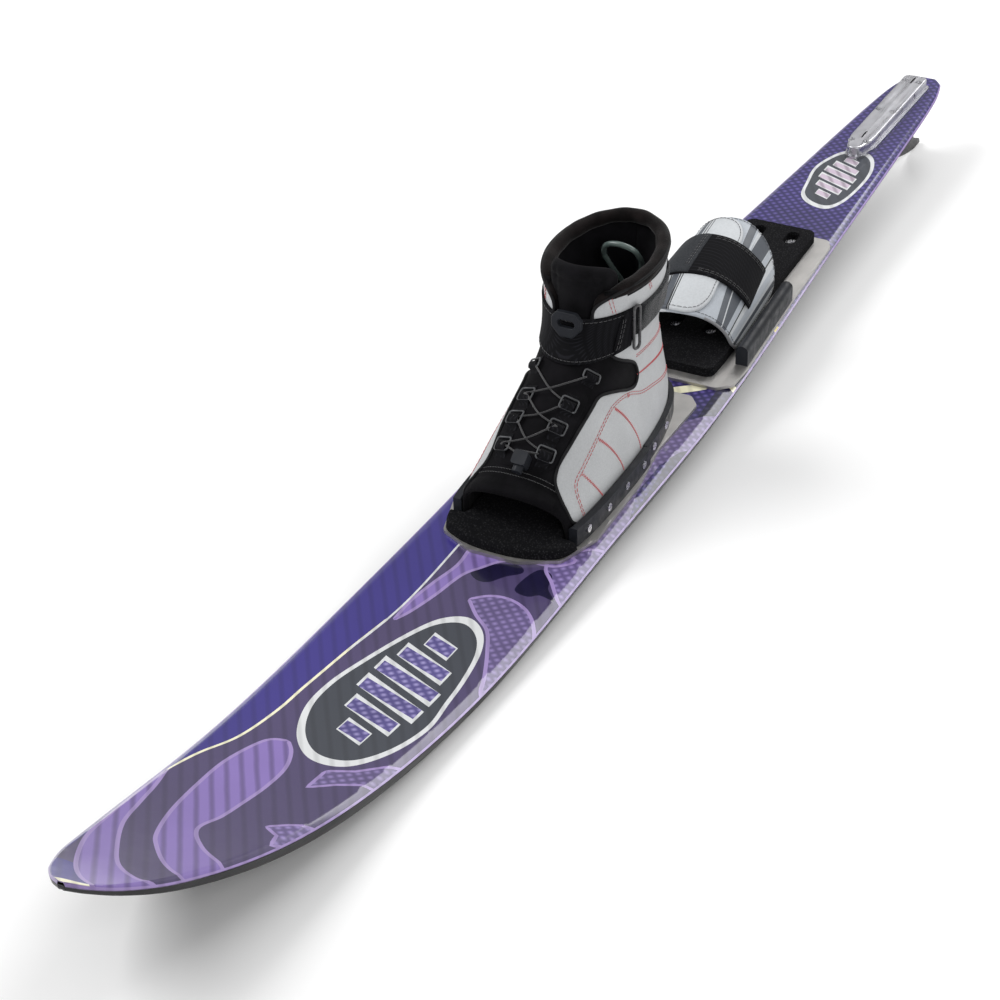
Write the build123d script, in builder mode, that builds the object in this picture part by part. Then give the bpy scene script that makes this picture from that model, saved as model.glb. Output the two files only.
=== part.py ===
from build123d import *
from math import atan, cos, degrees, pi, radians, sin, tan
import os

# Slalom water ski: laminated blank, adjustable fin in a clamping block, laced front boot on a
# sliding plate and a rear toe plate. Everything is drawn in the deck frame (x from the tail to the
# tip, y to the rider's left, z up from the flat of the deck, in mm) and stood at the end on the fin
# tip and the rocker.

os.makedirs("parts", exist_ok=True)

# ---------------------------------------------------------------- driving dimensions
ski_length = 1676.0
ski_width = 163.2
tip_rise = 122.0
rocker_start = 1040.0
rocker_power = 2.79
skin = 1.2
base_hollow = 2.5
rail_drop = 4.0
end_cap = 8.0

slide_gap = 0.1
fit_gap = 0.1
move_gap = 0.4

plate_thickness = 3.0
footbed_thickness = 9.0
binding_travel = 6.0

screw_radius = 3.0
screw_head_radius = 6.0
screw_head_height = 3.2
screw_depth = 9.0
insert_radius = 5.0
insert_depth = 9.5

fin_travel = 3.0
fin_thickness = 1.6
fin_root_rear = 34.0
fin_root_length = 164.0
fin_depth = 77.0
block_rear = 24.0
block_length = 203.0
block_half_width = 15.5
block_height = 13.0
block_flange = 3.0
block_screw_radius = 2.0
block_screw_row = 8.06
clamp_screw_radius = 1.6

boot_wall = 4.5
panel_thickness = 1.2
strap_thickness = 2.0
boot_toe = 1022.0
collar_back = 190.0
collar_front = 176.0
ankle_x = 822.0
ankle_z = 90.0
flex_lower = 6.0
flex_upper = 12.6
rail_wall = 9.0
rail_height = 17.0
heel_frame_wall = 6.5

arch_rear = 545.0
arch_front = 680.0
flap_thickness = 2.4
band_thickness = 1.8
lap_gap = 0.2
bar_width = 12.0
bar_height = 20.0

# ---------------------------------------------------------------- shared shapes
plate_bottom = slide_gap
plate_top = plate_bottom + plate_thickness
footbed_top = plate_top + footbed_thickness

width_shares = [(0, 0.2), (0.004, 0.262), (0.03, 0.368), (0.1, 0.478), (0.25, 0.672), (0.45, 0.946),
                (0.6, 0.973), (0.72, 1), (0.82, 0.93), (0.9, 0.8), (0.96, 0.562), (0.985, 0.35),
                (0.996, 0.17), (1, 0.04)]
thickness_shares = [(0, 8.5), (0.12, 9.5), (0.24, 14), (0.5, 20), (0.72, 17), (0.9, 13.5), (0.97, 11), (1, 8)]
bevel_shares = [(0, 4), (0.1, 7), (0.25, 9), (0.5, 10), (0.8, 9), (0.95, 6), (0.99, 3), (1, 1)]
tuck_shares = [(0, 8), (0.6, 8), (0.74, 5), (0.87, 1.5), (1, 1)]


def between(table, share):
    """The value at a share of the length on a smooth line through the table's (share, value) pairs."""
    last = len(table) - 1
    i = max(k for k in range(last) if table[k][0] <= share or k == 0)
    (x0, y0), (x1, y1) = table[i], table[i + 1]
    before = table[max(i - 1, 0)]
    after = table[min(i + 2, last)]
    slope0 = (y1 - before[1]) / (x1 - before[0])
    slope1 = (after[1] - y0) / (after[0] - x0)
    run = x1 - x0
    t = (share - x0) / run
    rise0 = (2 * t**3 - 3 * t**2 + 1) * y0 + (t**3 - 2 * t**2 + t) * run * slope0
    rise1 = (3 * t**2 - 2 * t**3) * y1 + (t**3 - t**2) * run * slope1
    return rise0 + rise1


def deck_height(x):
    run = max(0.0, (x - rocker_start) / (ski_length - rocker_start))
    return tip_rise * run**rocker_power


def deck_slope(x):
    """Nose-up angle of the deck in degrees."""
    return degrees(atan((deck_height(x + 1) - deck_height(x - 1)) / 2))


def blank(x):
    """The section's corner points for y > 0: outer and inner bevel, rail, base edge and base middle."""
    share = x / ski_length
    half = ski_width / 2 * between(width_shares, share)
    thick = between(thickness_shares, share)
    bevel = min(between(bevel_shares, share), 0.7 * half)
    deck = deck_height(x)
    drop = min(rail_drop, 0.4 * thick)
    under = min(between(tuck_shares, share), 0.3 * half)
    hollow = min(base_hollow, 0.2 * half)
    return {
        "rail": (half, deck - drop),
        "top": (half - bevel, deck),
        "edge": (half - under, deck - thick),
        "middle": (0, deck - thick + hollow),
        "rail_in": (half - skin, deck - drop),
        "top_in": (half - bevel - skin / 2, deck - skin),
        "edge_in": (half - under - skin, deck - thick + skin),
        "middle_in": (0, deck - thick + hollow + skin),
    }


def both_sides(x, names):
    """The named corners from y > 0 to y < 0, back to front, as one list of (y, z)."""
    corners = blank(x)
    right = [corners[n] for n in names]
    left = [(-y, z) for y, z in reversed(right) if y > 0]
    return right + left


def shell_ring(x, outer, inner):
    return both_sides(x, outer) + list(reversed(both_sides(x, inner)))


def loft_along(stations, outline):
    """Ruled loft, in the part being built, through outline(x) at each station."""
    sections = []
    for x in stations:
        with BuildSketch(Plane.YZ.offset(x)) as section:
            with BuildLine():
                Polyline(*outline(x), close=True)
            make_face()
        sections.append(section.sketch.face())
    loft(sections, ruled=True)


tail_stations = [0, 3, end_cap]
tip_run = 180.0
tip_steps = 9
body_steps = 30
body_start = 24.0
body_run = ski_length - tip_run - body_start
body_stations = [body_start + body_run * k / body_steps for k in range(body_steps)]
tip_stations = [ski_length - tip_run * ((tip_steps - k) / tip_steps) ** 2 for k in range(tip_steps - 1)]
end_stations = [tip_stations[-1], ski_length - 3, ski_length - 1, ski_length]
core_stations = [end_cap] + body_stations + tip_stations

# ---------------------------------------------------------------- fastener places
front_screws = [(x, y) for x in (800.0, 975.0) for y in (-20.0, 20.0)]
rear_screws = [(x, y) for x in (440.0, 640.0) for y in (-18.0, 18.0)]
block_rows = [block_rear + share * block_length for share in (0.093, 0.497, 0.898)]
block_screws = [(x, y) for x in block_rows for y in (-block_screw_row, block_screw_row)]
clamp_rows = [block_rear + share * block_length for share in (0.23, 0.42, 0.77)]
clamp_level = 8.5
block_insert_radius = 3.2
block_insert_depth = 4.5

slot_half = fin_thickness / 2 + 0.4
slot_rear = fin_root_rear - fin_travel - 1
slot_front = fin_root_rear + fin_root_length + fin_travel + 1


def cut_fin_slot():
    with Locations(((slot_rear + slot_front) / 2, 0, 0)):
        Box(slot_front - slot_rear, 2 * slot_half, 60, mode=Mode.SUBTRACT)


def cut_inserts():
    with Locations(*front_screws, *rear_screws):
        Hole(radius=insert_radius, depth=insert_depth)
    with Locations(*block_screws):
        Hole(radius=block_insert_radius, depth=block_insert_depth)


# ---------------------------------------------------------------- ski blank
with BuildPart() as top_laminate:
    loft_along(tail_stations, lambda x: both_sides(x, ["rail", "top"]))
    loft_along(core_stations, lambda x: shell_ring(x, ["rail", "top"], ["rail_in", "top_in"]))
    loft_along(end_stations, lambda x: both_sides(x, ["rail", "top"]))
    cut_fin_slot()
    cut_inserts()

with BuildPart() as ski_core:
    loft_along(core_stations, lambda x: shell_ring(x, ["rail_in", "top_in"], ["edge_in", "middle_in"]))
    cut_fin_slot()
    cut_inserts()

with BuildPart() as base_laminate:
    loft_along(tail_stations, lambda x: both_sides(x, ["rail", "edge", "middle"]))
    loft_along(core_stations,
               lambda x: shell_ring(x, ["rail", "edge", "middle"], ["rail_in", "edge_in", "middle_in"]))
    loft_along(end_stations, lambda x: both_sides(x, ["rail", "edge", "middle"]))
    cut_fin_slot()

with BuildPart() as binding_inserts:
    with Locations(*[(x, y, -insert_depth) for x, y in front_screws + rear_screws]):
        Cylinder(insert_radius - fit_gap / 2, insert_depth, align=(Align.CENTER, Align.CENTER, Align.MIN))
        Cylinder(screw_radius + fit_gap / 2, insert_depth, align=(Align.CENTER, Align.CENTER, Align.MIN),
                 mode=Mode.SUBTRACT)

with BuildPart() as fin_inserts:
    with Locations(*[(x, y, -block_insert_depth) for x, y in block_screws]):
        Cylinder(block_insert_radius - fit_gap / 2, block_insert_depth,
                 align=(Align.CENTER, Align.CENTER, Align.MIN))
        Cylinder(block_screw_radius + fit_gap / 2, block_insert_depth,
                 align=(Align.CENTER, Align.CENTER, Align.MIN), mode=Mode.SUBTRACT)

# ---------------------------------------------------------------- fin and its clamping block
fin_front = fin_root_rear + fin_root_length
fin_top = block_height - 2.5
block_front = block_rear + block_length
nose_run = 38.0
clamp_slot = 2 * (clamp_screw_radius + 0.2 + fin_travel)


def block_outline(grow):
    """The block's plan: rounded at the tail, drawn to a blunt nose at the front."""
    half = block_half_width + grow
    with BuildSketch() as plan:
        with BuildLine():
            Polyline((block_rear - grow, 0), (block_rear - grow, half), (block_front - nose_run, half))
            Spline((block_front - nose_run, half), (block_front - 0.35 * nose_run, 0.7 * half),
                   (block_front + grow, 0), tangents=((1, 0), (0, -1)))
            mirror(about=Plane.XZ)
        make_face()
        fillet(plan.vertices().group_by(Axis.X)[0], 0.45 * half)
    return plan.sketch


block_flange_plan = block_outline(0)
block_body_plan = block_outline(-2.5)


def make_block_half(side):
    """One half of the block, on the side of y given by the sign."""
    with BuildPart() as half:
        extrude(block_flange_plan, amount=block_flange)
        extrude(Plane.XY.offset(block_flange) * block_body_plan, amount=block_height - block_flange)
        fillet(half.edges().group_by(Axis.Z)[-1], 1.5)
        with Locations(((fin_root_rear + fin_front) / 2, 0, 0)):
            Box(fin_root_length + 2 * fin_travel + 2, fin_thickness + 0.4, 2 * fin_top + 1, mode=Mode.SUBTRACT)
        with Locations((fin_root_rear + 6, 0, block_height), (fin_front - 8, 0, block_height)):
            Box(16, fin_thickness + 0.4, 8, mode=Mode.SUBTRACT)
        with Locations(*[(x, y, block_height) for x, y in block_screws]):
            CounterBoreHole(block_screw_radius + 0.2, 3.8, 3.0, depth=block_height + 1)
        with Locations(*[Plane.XZ.offset(-block_half_width) * Pos(x, clamp_level) for x in clamp_rows]):
            Hole(clamp_screw_radius + 0.2, depth=4 * block_half_width)
            Hole(3.2, depth=5.2)
        with Locations(*[Pos(x, -block_half_width, clamp_level) * Rot(90, 0, 0) for x in clamp_rows]):
            Box(7.0, 7.0, 10.4, mode=Mode.SUBTRACT)
        split(bisect_by=Plane.XZ.offset(-side * fit_gap / 2), keep=Keep.BOTTOM if side > 0 else Keep.TOP)
    return half.part


with BuildPart() as fin_block_left:
    add(make_block_half(1))

with BuildPart() as fin_block_right:
    add(make_block_half(-1))

with BuildPart() as fin_block_screws:
    with Locations(*[(x, y, -block_insert_depth) for x, y in block_screws]):
        Cylinder(block_screw_radius, block_insert_depth + block_height - 3.0,
                 align=(Align.CENTER, Align.CENTER, Align.MIN))
    with Locations(*[(x, y, block_height - 3.0) for x, y in block_screws]):
        Cylinder(3.6, 2.2, align=(Align.CENTER, Align.CENTER, Align.MIN))
    with Locations(*[(x, y, block_height - 0.8) for x, y in block_screws]):
        Box(5.0, 0.9, 2.0, mode=Mode.SUBTRACT)
        Box(0.9, 5.0, 2.0, mode=Mode.SUBTRACT)

clamp_head_y = block_half_width - 5.2
with BuildPart() as fin_clamp_screws:
    with Locations(*[Pos(x, clamp_head_y, clamp_level) * Rot(90, 0, 0) for x in clamp_rows]):
        Cylinder(clamp_screw_radius, 2 * clamp_head_y + 2, align=(Align.CENTER, Align.CENTER, Align.MIN))
    with Locations(*[Pos(x, clamp_head_y, clamp_level) * Rot(-90, 0, 0) for x in clamp_rows]):
        Cylinder(2.9, 2.4, align=(Align.CENTER, Align.CENTER, Align.MIN))
        with Locations((0, 0, 2.4)):
            Cylinder(1.3, 3.0, mode=Mode.SUBTRACT)

with BuildPart() as fin_clamp_nuts:
    with Locations(*[Pos(x, -clamp_head_y, clamp_level) * Rot(90, 0, 0) for x in clamp_rows]):
        Box(6.8, 6.8, 2.4, align=(Align.CENTER, Align.CENTER, Align.MIN))
        Cylinder(clamp_screw_radius + fit_gap / 2, 6, mode=Mode.SUBTRACT)

with BuildPart() as fin_blade:
    with BuildSketch(Plane.XZ) as fin_side:
        with BuildLine():
            Polyline((fin_front, fin_top), (fin_root_rear, fin_top), (fin_root_rear, -0.5 * fin_depth),
                     (fin_root_rear - 7, -0.81 * fin_depth), (fin_root_rear - 27, -0.93 * fin_depth),
                     (fin_root_rear - 29, -fin_depth), (fin_root_rear - 10, -fin_depth))
            Spline((fin_root_rear - 10, -fin_depth), (fin_root_rear + 21, -0.92 * fin_depth),
                   (fin_root_rear + 90, -0.62 * fin_depth), (fin_front - 24, -0.34 * fin_depth),
                   (fin_front, -0.1 * fin_depth))
            Line((fin_front, -0.1 * fin_depth), (fin_front, fin_top))
        make_face()
        with Locations(*[(x, clamp_level) for x in clamp_rows]):
            SlotOverall(clamp_slot, 2 * (clamp_screw_radius + 0.2), mode=Mode.SUBTRACT)
    extrude(amount=fin_thickness / 2, both=True)


# ---------------------------------------------------------------- binding plates
def both_edges(half_plan):
    """A plan outline from its half with y > 0, as one closed list of points."""
    return half_plan + [(x, -y) for x, y in reversed(half_plan)]


def cut_travel_slots(places):
    with Locations(*places):
        SlotOverall(2 * (binding_travel + screw_radius) + 0.6, 2 * screw_radius + 0.6, mode=Mode.SUBTRACT)


front_plate_plan = [(750, 46), (763, 57), (847, 57), (908, 66), (1000, 69), (1043, 56), (1060, 22)]
rear_plate_plan = [(414, 48), (425, 54), (545, 62), (680, 73), (715, 73), (728, 60)]
rear_footbed_plan = [(417, 36), (545, 41), (680, 50), (714, 50)]


def make_plate(plan, screws, corner):
    with BuildPart() as plate:
        with BuildSketch(Plane.XY.offset(plate_bottom)) as outline:
            with BuildLine():
                Polyline(*both_edges(plan), close=True)
            make_face()
            fillet(outline.vertices(), corner)
            cut_travel_slots(screws)
        extrude(amount=plate_thickness)
    return plate.part


def cut_screw_wells(places):
    well = 2 * (screw_head_radius + binding_travel + move_gap)
    with Locations(*places):
        SlotOverall(well, 2 * (screw_head_radius + move_gap), mode=Mode.SUBTRACT)


def make_plate_screws(places):
    """Round-headed screws from the inserts up through the plate's slots, with hexagon sockets."""
    with BuildPart() as screws:
        with Locations(*[(x, y, -screw_depth) for x, y in places]):
            Cylinder(screw_radius, screw_depth + plate_top + move_gap,
                     align=(Align.CENTER, Align.CENTER, Align.MIN))
        with Locations(*[(x, y, plate_top + move_gap) for x, y in places]):
            Cylinder(screw_head_radius, screw_head_height, align=(Align.CENTER, Align.CENTER, Align.MIN))
        with BuildSketch(Plane.XY.offset(plate_top + move_gap + screw_head_height)):
            with Locations(*places):
                RegularPolygon(2.4, 6)
        extrude(amount=-1.8, mode=Mode.SUBTRACT)
    return screws.part


with BuildPart() as rear_footbed:
    with BuildSketch(Plane.XY.offset(plate_top)) as rear_bed_plan:
        with BuildLine():
            Polyline(*both_edges(rear_footbed_plan), close=True)
        make_face()
        fillet(rear_bed_plan.vertices(), 9)
        cut_screw_wells(rear_screws)
    extrude(amount=footbed_thickness)
with BuildPart() as front_plate_screws:
    add(make_plate_screws(front_screws))
with BuildPart() as rear_plate_screws:
    add(make_plate_screws(rear_screws))

# ---------------------------------------------------------------- boot form
# Level, heel, toe, half-width, x of the widest place and squareness of each slice of the boot.
boot_slices = [
    (0, 757, 1076, 54, 958, 2.6), (14, 753, 1071, 54, 958, 2.6), (28, 752, 1060, 53.5, 955, 2.6),
    (42, 752, 1040, 51, 945, 2.5), (62, 754, 1013, 46, 925, 2.4), (80, 758, 988, 42, 898, 2.4),
    (95, 763, 958, 40, 875, 2.3), (110, 767, 932, 40.5, 855, 2.2), (128, 769, 914, 43, 842, 2.1),
    (155, 769, 906, 47, 838, 2), (185, 766, 908, 50, 838, 2), (220, 761, 914, 53, 838, 2)]


def slice_points(row, grow, count=16):
    """Points round one slice, pushed out by grow: a rounded box with its own heel and toe lengths."""
    level, heel, toe, half, widest, square = row
    points = []
    for k in range(count):
        angle = 2 * pi * k / count
        reach = (toe - widest if cos(angle) > 0 else widest - heel) + grow
        across = abs(sin(angle)) ** (2 / square) * (half + grow)
        along = abs(cos(angle)) ** (2 / square) * reach
        points.append((widest + (along if cos(angle) > 0 else -along), across if sin(angle) > 0 else -across))
    return points


def boot_form(grow):
    """The boot's closed outer form, pushed out by grow all round."""
    with BuildPart() as form:
        for row in boot_slices:
            with BuildSketch(Plane.XY.offset(row[0])):
                with BuildLine():
                    Spline(*slice_points(row, grow), periodic=True)
                make_face()
        loft()
    return form.part


def side_region(points):
    """A prism across the ski over a side-view outline given as (x, z) points."""
    with BuildPart() as region:
        with BuildSketch(Plane.XZ):
            with BuildLine():
                Polyline(*points, close=True)
            make_face()
        extrude(amount=200, both=True)
    return region.part


def collar_height(x):
    share = (x - 765) / (912 - 765)
    return collar_back + (collar_front - collar_back) * share


lower_slope = tan(radians(flex_lower))
upper_slope = tan(radians(flex_upper))
lower_region = side_region([
    (700, plate_top), (boot_toe, plate_top), (boot_toe, ankle_z + (boot_toe - ankle_x) * lower_slope),
    (ankle_x, ankle_z), (700, ankle_z)])
upper_region = side_region([
    (700, ankle_z + move_gap), (ankle_x, ankle_z + move_gap),
    (1000, ankle_z + move_gap + (1000 - ankle_x) * upper_slope), (1000, collar_height(1000)),
    (700, collar_height(700))])

boot_outer = boot_form(0)
boot_inner = boot_form(-boot_wall)
panel_outer = boot_form(panel_thickness)
rail_void = boot_form(panel_thickness + fit_gap)

rail_rear = 873.0
rail_front = 1018.0
frame_rear = 740.0
boot_screw_rows = [rail_rear + 16 + 37 * k for k in range(4)]
heel_screw_rows = [820.0, 857.0]
rail_screw_level = 12.0


def slice_value(level, column):
    return between([(row[0], row[column]) for row in boot_slices], level)


def half_at(level, x, grow):
    """Half-width of the boot, pushed out by grow, at a level and a place along the ski."""
    widest = slice_value(level, 4)
    reach = (slice_value(level, 2) - widest if x > widest else widest - slice_value(level, 1)) + grow
    square = slice_value(level, 5)
    return (slice_value(level, 3) + grow) * (1 - (abs(x - widest) / reach) ** square) ** (1 / square)


def front_at(level, y, grow):
    """x of the boot's front, pushed out by grow, at a level and a distance from the centre line."""
    widest = slice_value(level, 4)
    square = slice_value(level, 5)
    share = (1 - (abs(y) / (slice_value(level, 3) + grow)) ** square) ** (1 / square)
    return widest + (slice_value(level, 2) - widest + grow) * share


def clamp_screw_places(rows, wall):
    """Places of horizontal screws on both sides, with local z pointing out of the boot."""
    places = []
    for x in rows:
        for side in (-1, 1):
            face = side * half_at(rail_screw_level, x, wall)
            places.append(Pos(x, face, rail_screw_level) * Rot(-90 * side, 0, 0))
    return places


rail_screw_places = clamp_screw_places(boot_screw_rows, rail_wall)
heel_screw_places = clamp_screw_places(heel_screw_rows, heel_frame_wall)
side_screw_radius = 2.0
side_screw_head = 3.6
side_screw_sink = 1.2


def cut_side_screws(places):
    with Locations(*places):
        Cylinder(side_screw_radius + fit_gap, 40, mode=Mode.SUBTRACT)
        Cylinder(side_screw_head + fit_gap, 2 * side_screw_sink + 2 * fit_gap, mode=Mode.SUBTRACT)


with BuildPart() as front_footbed:
    with BuildSketch(Plane.XY.offset(plate_top)) as front_bed_plan:
        with BuildLine():
            Spline(*slice_points(boot_slices[0], -boot_wall - 1.0), periodic=True)
        make_face()
        with Locations((boot_toe + 0.4 + 100, 0)):
            Rectangle(200, 200, mode=Mode.SUBTRACT)
        with BuildSketch(mode=Mode.PRIVATE) as toe_pad:
            with BuildLine():
                Polyline(*both_edges([(boot_toe - 30, 30), (boot_toe + 0.4, 30), (boot_toe + 0.4, 47.5),
                                      (boot_toe + 15, 47), (boot_toe + 30, 36)]), close=True)
            make_face()
            fillet(toe_pad.vertices().group_by(Axis.X)[-1], 9)
        add(toe_pad.sketch)
        cut_screw_wells(front_screws)
    extrude(amount=footbed_thickness)

# ---------------------------------------------------------------- boot shells and skins
with BuildPart() as boot_lower:
    add(boot_outer)
    add(boot_inner, mode=Mode.SUBTRACT)
    add(lower_region, mode=Mode.INTERSECT)
    with Locations(*rail_screw_places, *heel_screw_places):
        Cylinder(side_screw_radius + fit_gap, 40, mode=Mode.SUBTRACT)

loop_z = 116.0
loop_x = 782.0
with BuildPart() as boot_cuff:
    add(boot_outer)
    add(boot_inner, mode=Mode.SUBTRACT)
    with BuildSketch(Plane.YZ.offset(ankle_x + 40)):
        with BuildLine():
            Polyline((-14, 126), (14, 126), (30, 260), (-30, 260), close=True)
        make_face()
    extrude(amount=200, mode=Mode.SUBTRACT)
    with Locations((loop_x - 10, 0, loop_z - 6.3)):
        Box(14, 20, 14)
    add(upper_region, mode=Mode.INTERSECT)


def panel_on(side, outline):
    """A thin skin over the boot on one side of the ski, cut to a side-view outline of (x, z) points."""
    with BuildPart() as skin_part:
        add(panel_outer)
        add(boot_outer, mode=Mode.SUBTRACT)
        with BuildSketch(Plane.XZ.offset(-8 * side)):
            with BuildLine():
                Polyline(*outline, close=True)
            make_face()
        extrude(amount=-200 * side, mode=Mode.INTERSECT)
    return skin_part.part


foot_panel_outline = [(770, 16), (1012, 16), (1011, 30), (996, 46), (944, 79), (930, 84), (862, 84),
                      (858, ankle_z), (770, ankle_z)]
cuff_panel_outline = [(770, ankle_z + move_gap), (856, ankle_z + 9), (872, 108), (896, 114), (903, 160),
                      (896, 170), (880, 174), (775, 184)]

with BuildPart() as foot_panel_left:
    add(panel_on(1, foot_panel_outline))
with BuildPart() as foot_panel_right:
    add(panel_on(-1, foot_panel_outline))
with BuildPart() as cuff_panel_left:
    add(panel_on(1, cuff_panel_outline))
with BuildPart() as cuff_panel_right:
    add(panel_on(-1, cuff_panel_outline))

tongue_thickness = 7.0
with BuildPart() as tongue:
    add(boot_form(-boot_wall - fit_gap))
    add(boot_form(-boot_wall - fit_gap - tongue_thickness), mode=Mode.SUBTRACT)
    with BuildSketch(Plane.YZ.offset(ankle_x + 30)) as tongue_front:
        with BuildLine():
            Polyline((-22, 124), (22, 124), (30, 199), (-30, 199), close=True)
        make_face()
        fillet(tongue_front.vertices().group_by(Axis.Y)[-1], 12)
    extrude(amount=200, mode=Mode.INTERSECT)

strap_gap = panel_thickness + fit_gap
with BuildPart() as ankle_strap:
    add(boot_form(strap_gap + strap_thickness))
    add(boot_form(strap_gap), mode=Mode.SUBTRACT)
    add(side_region([(740, 131), (940, 115.5), (940, 152), (740, 166)]), mode=Mode.INTERSECT)

ring_level = 138.0
ring_stand = 2.0
ring_x = 872.0
ring_y = half_at(ring_level, ring_x, strap_gap + strap_thickness) + ring_stand
ring_turn = radians(14)
ring_plane = Plane(origin=(ring_x, ring_y, ring_level), x_dir=(0, 0, 1), z_dir=(sin(ring_turn), cos(ring_turn), 0))
with BuildPart() as strap_ring:
    with BuildSketch(ring_plane):
        SlotOverall(52, 12)
        SlotOverall(46, 6, mode=Mode.SUBTRACT)
    extrude(amount=3)

# ---------------------------------------------------------------- rails and heel frame
def boot_clamp(wall, rear, front, side):
    """The clamping piece round the boot's foot between two places along the ski, on one or both sides."""
    with BuildPart() as clamp:
        with BuildSketch(Plane.XY.offset(plate_top)):
            with BuildLine():
                Spline(*slice_points(boot_slices[1], wall), periodic=True)
            make_face()
            with Locations(((rear + front) / 2, 0)):
                Rectangle(front - rear, 300, mode=Mode.INTERSECT)
            if side:
                with Locations((0, 100 * side)):
                    Rectangle(4000, 200, mode=Mode.INTERSECT)
        extrude(amount=rail_height)
        add(rail_void, mode=Mode.SUBTRACT)
        chamfer(clamp.edges().group_by(Axis.Z)[-1].sort_by(Edge.length)[-1], 1.5)
        cut_side_screws(heel_screw_places if not side else rail_screw_places)
    return clamp.part


def make_side_screws(places, length):
    with BuildPart() as screws:
        with Locations(*places):
            Cylinder(side_screw_radius, length, align=(Align.CENTER, Align.CENTER, Align.MAX))
            with Locations((0, 0, -side_screw_sink)):
                Cylinder(side_screw_head, 2.0, align=(Align.CENTER, Align.CENTER, Align.MIN))
            with Locations((0, 0, 0.8)):
                Box(4.6, 0.8, 1.2, mode=Mode.SUBTRACT)
                Box(0.8, 4.6, 1.2, mode=Mode.SUBTRACT)
    return screws.part


with BuildPart() as rail_screws:
    add(make_side_screws(rail_screw_places, rail_wall + boot_wall - 0.8))
with BuildPart() as heel_frame_screws:
    add(make_side_screws(heel_screw_places, heel_frame_wall + boot_wall - 0.8))

# ---------------------------------------------------------------- lacing
def instep_plane(level, y, lift):
    """A plane lying on the instep, its own x across the ski and its z off the boot."""
    below = Vector(front_at(level - 3, y, 0), y, level - 3)
    above = Vector(front_at(level + 3, y, 0), y, level + 3)
    up_slope = (above - below).normalized()
    inner = Vector(front_at(level, abs(y) - 3, 0), y - 3 * (1 if y > 0 else -1), level)
    outer = Vector(front_at(level, abs(y) + 3, 0), y + 3 * (1 if y > 0 else -1), level)
    across = (outer - inner).normalized() * (1 if y > 0 else -1)
    normal = across.cross(up_slope).normalized() * -1
    if normal.X < 0:
        normal = normal * -1
    here = Vector(front_at(level, y, 0), y, level) + normal * lift
    return Plane(origin=here, x_dir=up_slope, z_dir=normal)


lace_radius = 1.2
loop_lift = 2.6
loop_bar = 2.0
loop_size = 17.0
loop_rows = [71.0, 84.5, 95.0]
loop_y = 19.0
upper_loop_y = 25.0
upper_loop_level = 108.5
upper_loop_height = 10.0
tab_thickness = 1.2


def make_loops(places, height):
    """Square rings of that height lying just off the boot."""
    with BuildPart() as rings:
        for level, y in places:
            with BuildSketch(instep_plane(level, y, loop_lift)) as ring_plan:
                Rectangle(height, loop_size)
                fillet(ring_plan.vertices(), 2.5)
                Rectangle(height - 2 * loop_bar, loop_size - 2 * loop_bar, mode=Mode.SUBTRACT)
            extrude(amount=loop_bar)
    return rings.part


def make_tabs(places):
    """Webbing tabs that hold the rings down, one strip each through the ring."""
    with BuildPart() as tabs:
        for level, y in places:
            with BuildSketch(instep_plane(level, y, 0.9)):
                Rectangle(8.0, loop_size - 2 * loop_bar - 1)
            extrude(amount=tab_thickness)
    return tabs.part


lower_loops = [(level, y) for level in loop_rows for y in (-loop_y, loop_y)]
upper_loops = [(upper_loop_level, y) for y in (-upper_loop_y, upper_loop_y)]
with BuildPart() as lace_loops:
    add(make_loops(lower_loops, loop_size - 3))
with BuildPart() as loop_tabs:
    add(make_tabs(lower_loops))
with BuildPart() as upper_lace_loops:
    add(make_loops(upper_loops, upper_loop_height))

lace_lift = loop_lift + loop_bar + lace_radius + 0.3


def lace_point(level, y, lift):
    return instep_plane(level, y, lift).origin


with BuildPart() as lace:
    for lower, upper in zip(loop_rows, loop_rows[1:]):
        for side in (-1, 1):
            step = 0.0 if side < 0 else 2 * lace_radius + 0.4
            start = lace_point(lower, -side * loop_y, lace_lift + step)
            middle = lace_point((lower + upper) / 2, side * 0.5, lace_lift + step + 1.5)
            end = lace_point(upper, side * loop_y, lace_lift + step)
            with BuildLine() as strand:
                ThreePointArc(start, middle, end)
            with BuildSketch(Plane(origin=strand.line @ 0, z_dir=strand.line % 0)):
                Circle(lace_radius)
            sweep(path=strand.line)

lock_plane = instep_plane(66.0, 4.0, 1.0)
lock_size = 13.0
button_radius = 4.5
button_travel = 4.0
button_length = 9.0
with BuildPart() as cord_lock_body:
    with BuildSketch(lock_plane) as lock_plan:
        Rectangle(lock_size, lock_size)
        fillet(lock_plan.vertices(), 2.5)
    extrude(amount=lock_size)
    with Locations(Plane(origin=lock_plane.from_local_coords((-lock_size / 2, 0, lock_size / 2)),
                         z_dir=lock_plane.x_dir)):
        Cylinder(button_radius + 0.4, 18, mode=Mode.SUBTRACT)

button_base = lock_plane.from_local_coords((-lock_size / 2 + 3.5, 0, lock_size / 2))
button_plane = Plane(origin=button_base, z_dir=-lock_plane.x_dir)
with BuildPart() as cord_lock_button:
    with Locations(button_plane):
        Cylinder(button_radius, button_length, align=(Align.CENTER, Align.CENTER, Align.MIN))
        Cylinder(2.2, 2 * 2.0, mode=Mode.SUBTRACT)

with BuildPart() as cord_lock_spring:
    with Locations(Plane(origin=lock_plane.from_local_coords((lock_size / 2 - 4.2, 0, lock_size / 2)),
                         z_dir=-lock_plane.x_dir)):
        Cylinder(1.9, 3.0, align=(Align.CENTER, Align.CENTER, Align.MIN))
        Cylinder(1.2, 20, mode=Mode.SUBTRACT)

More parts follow.
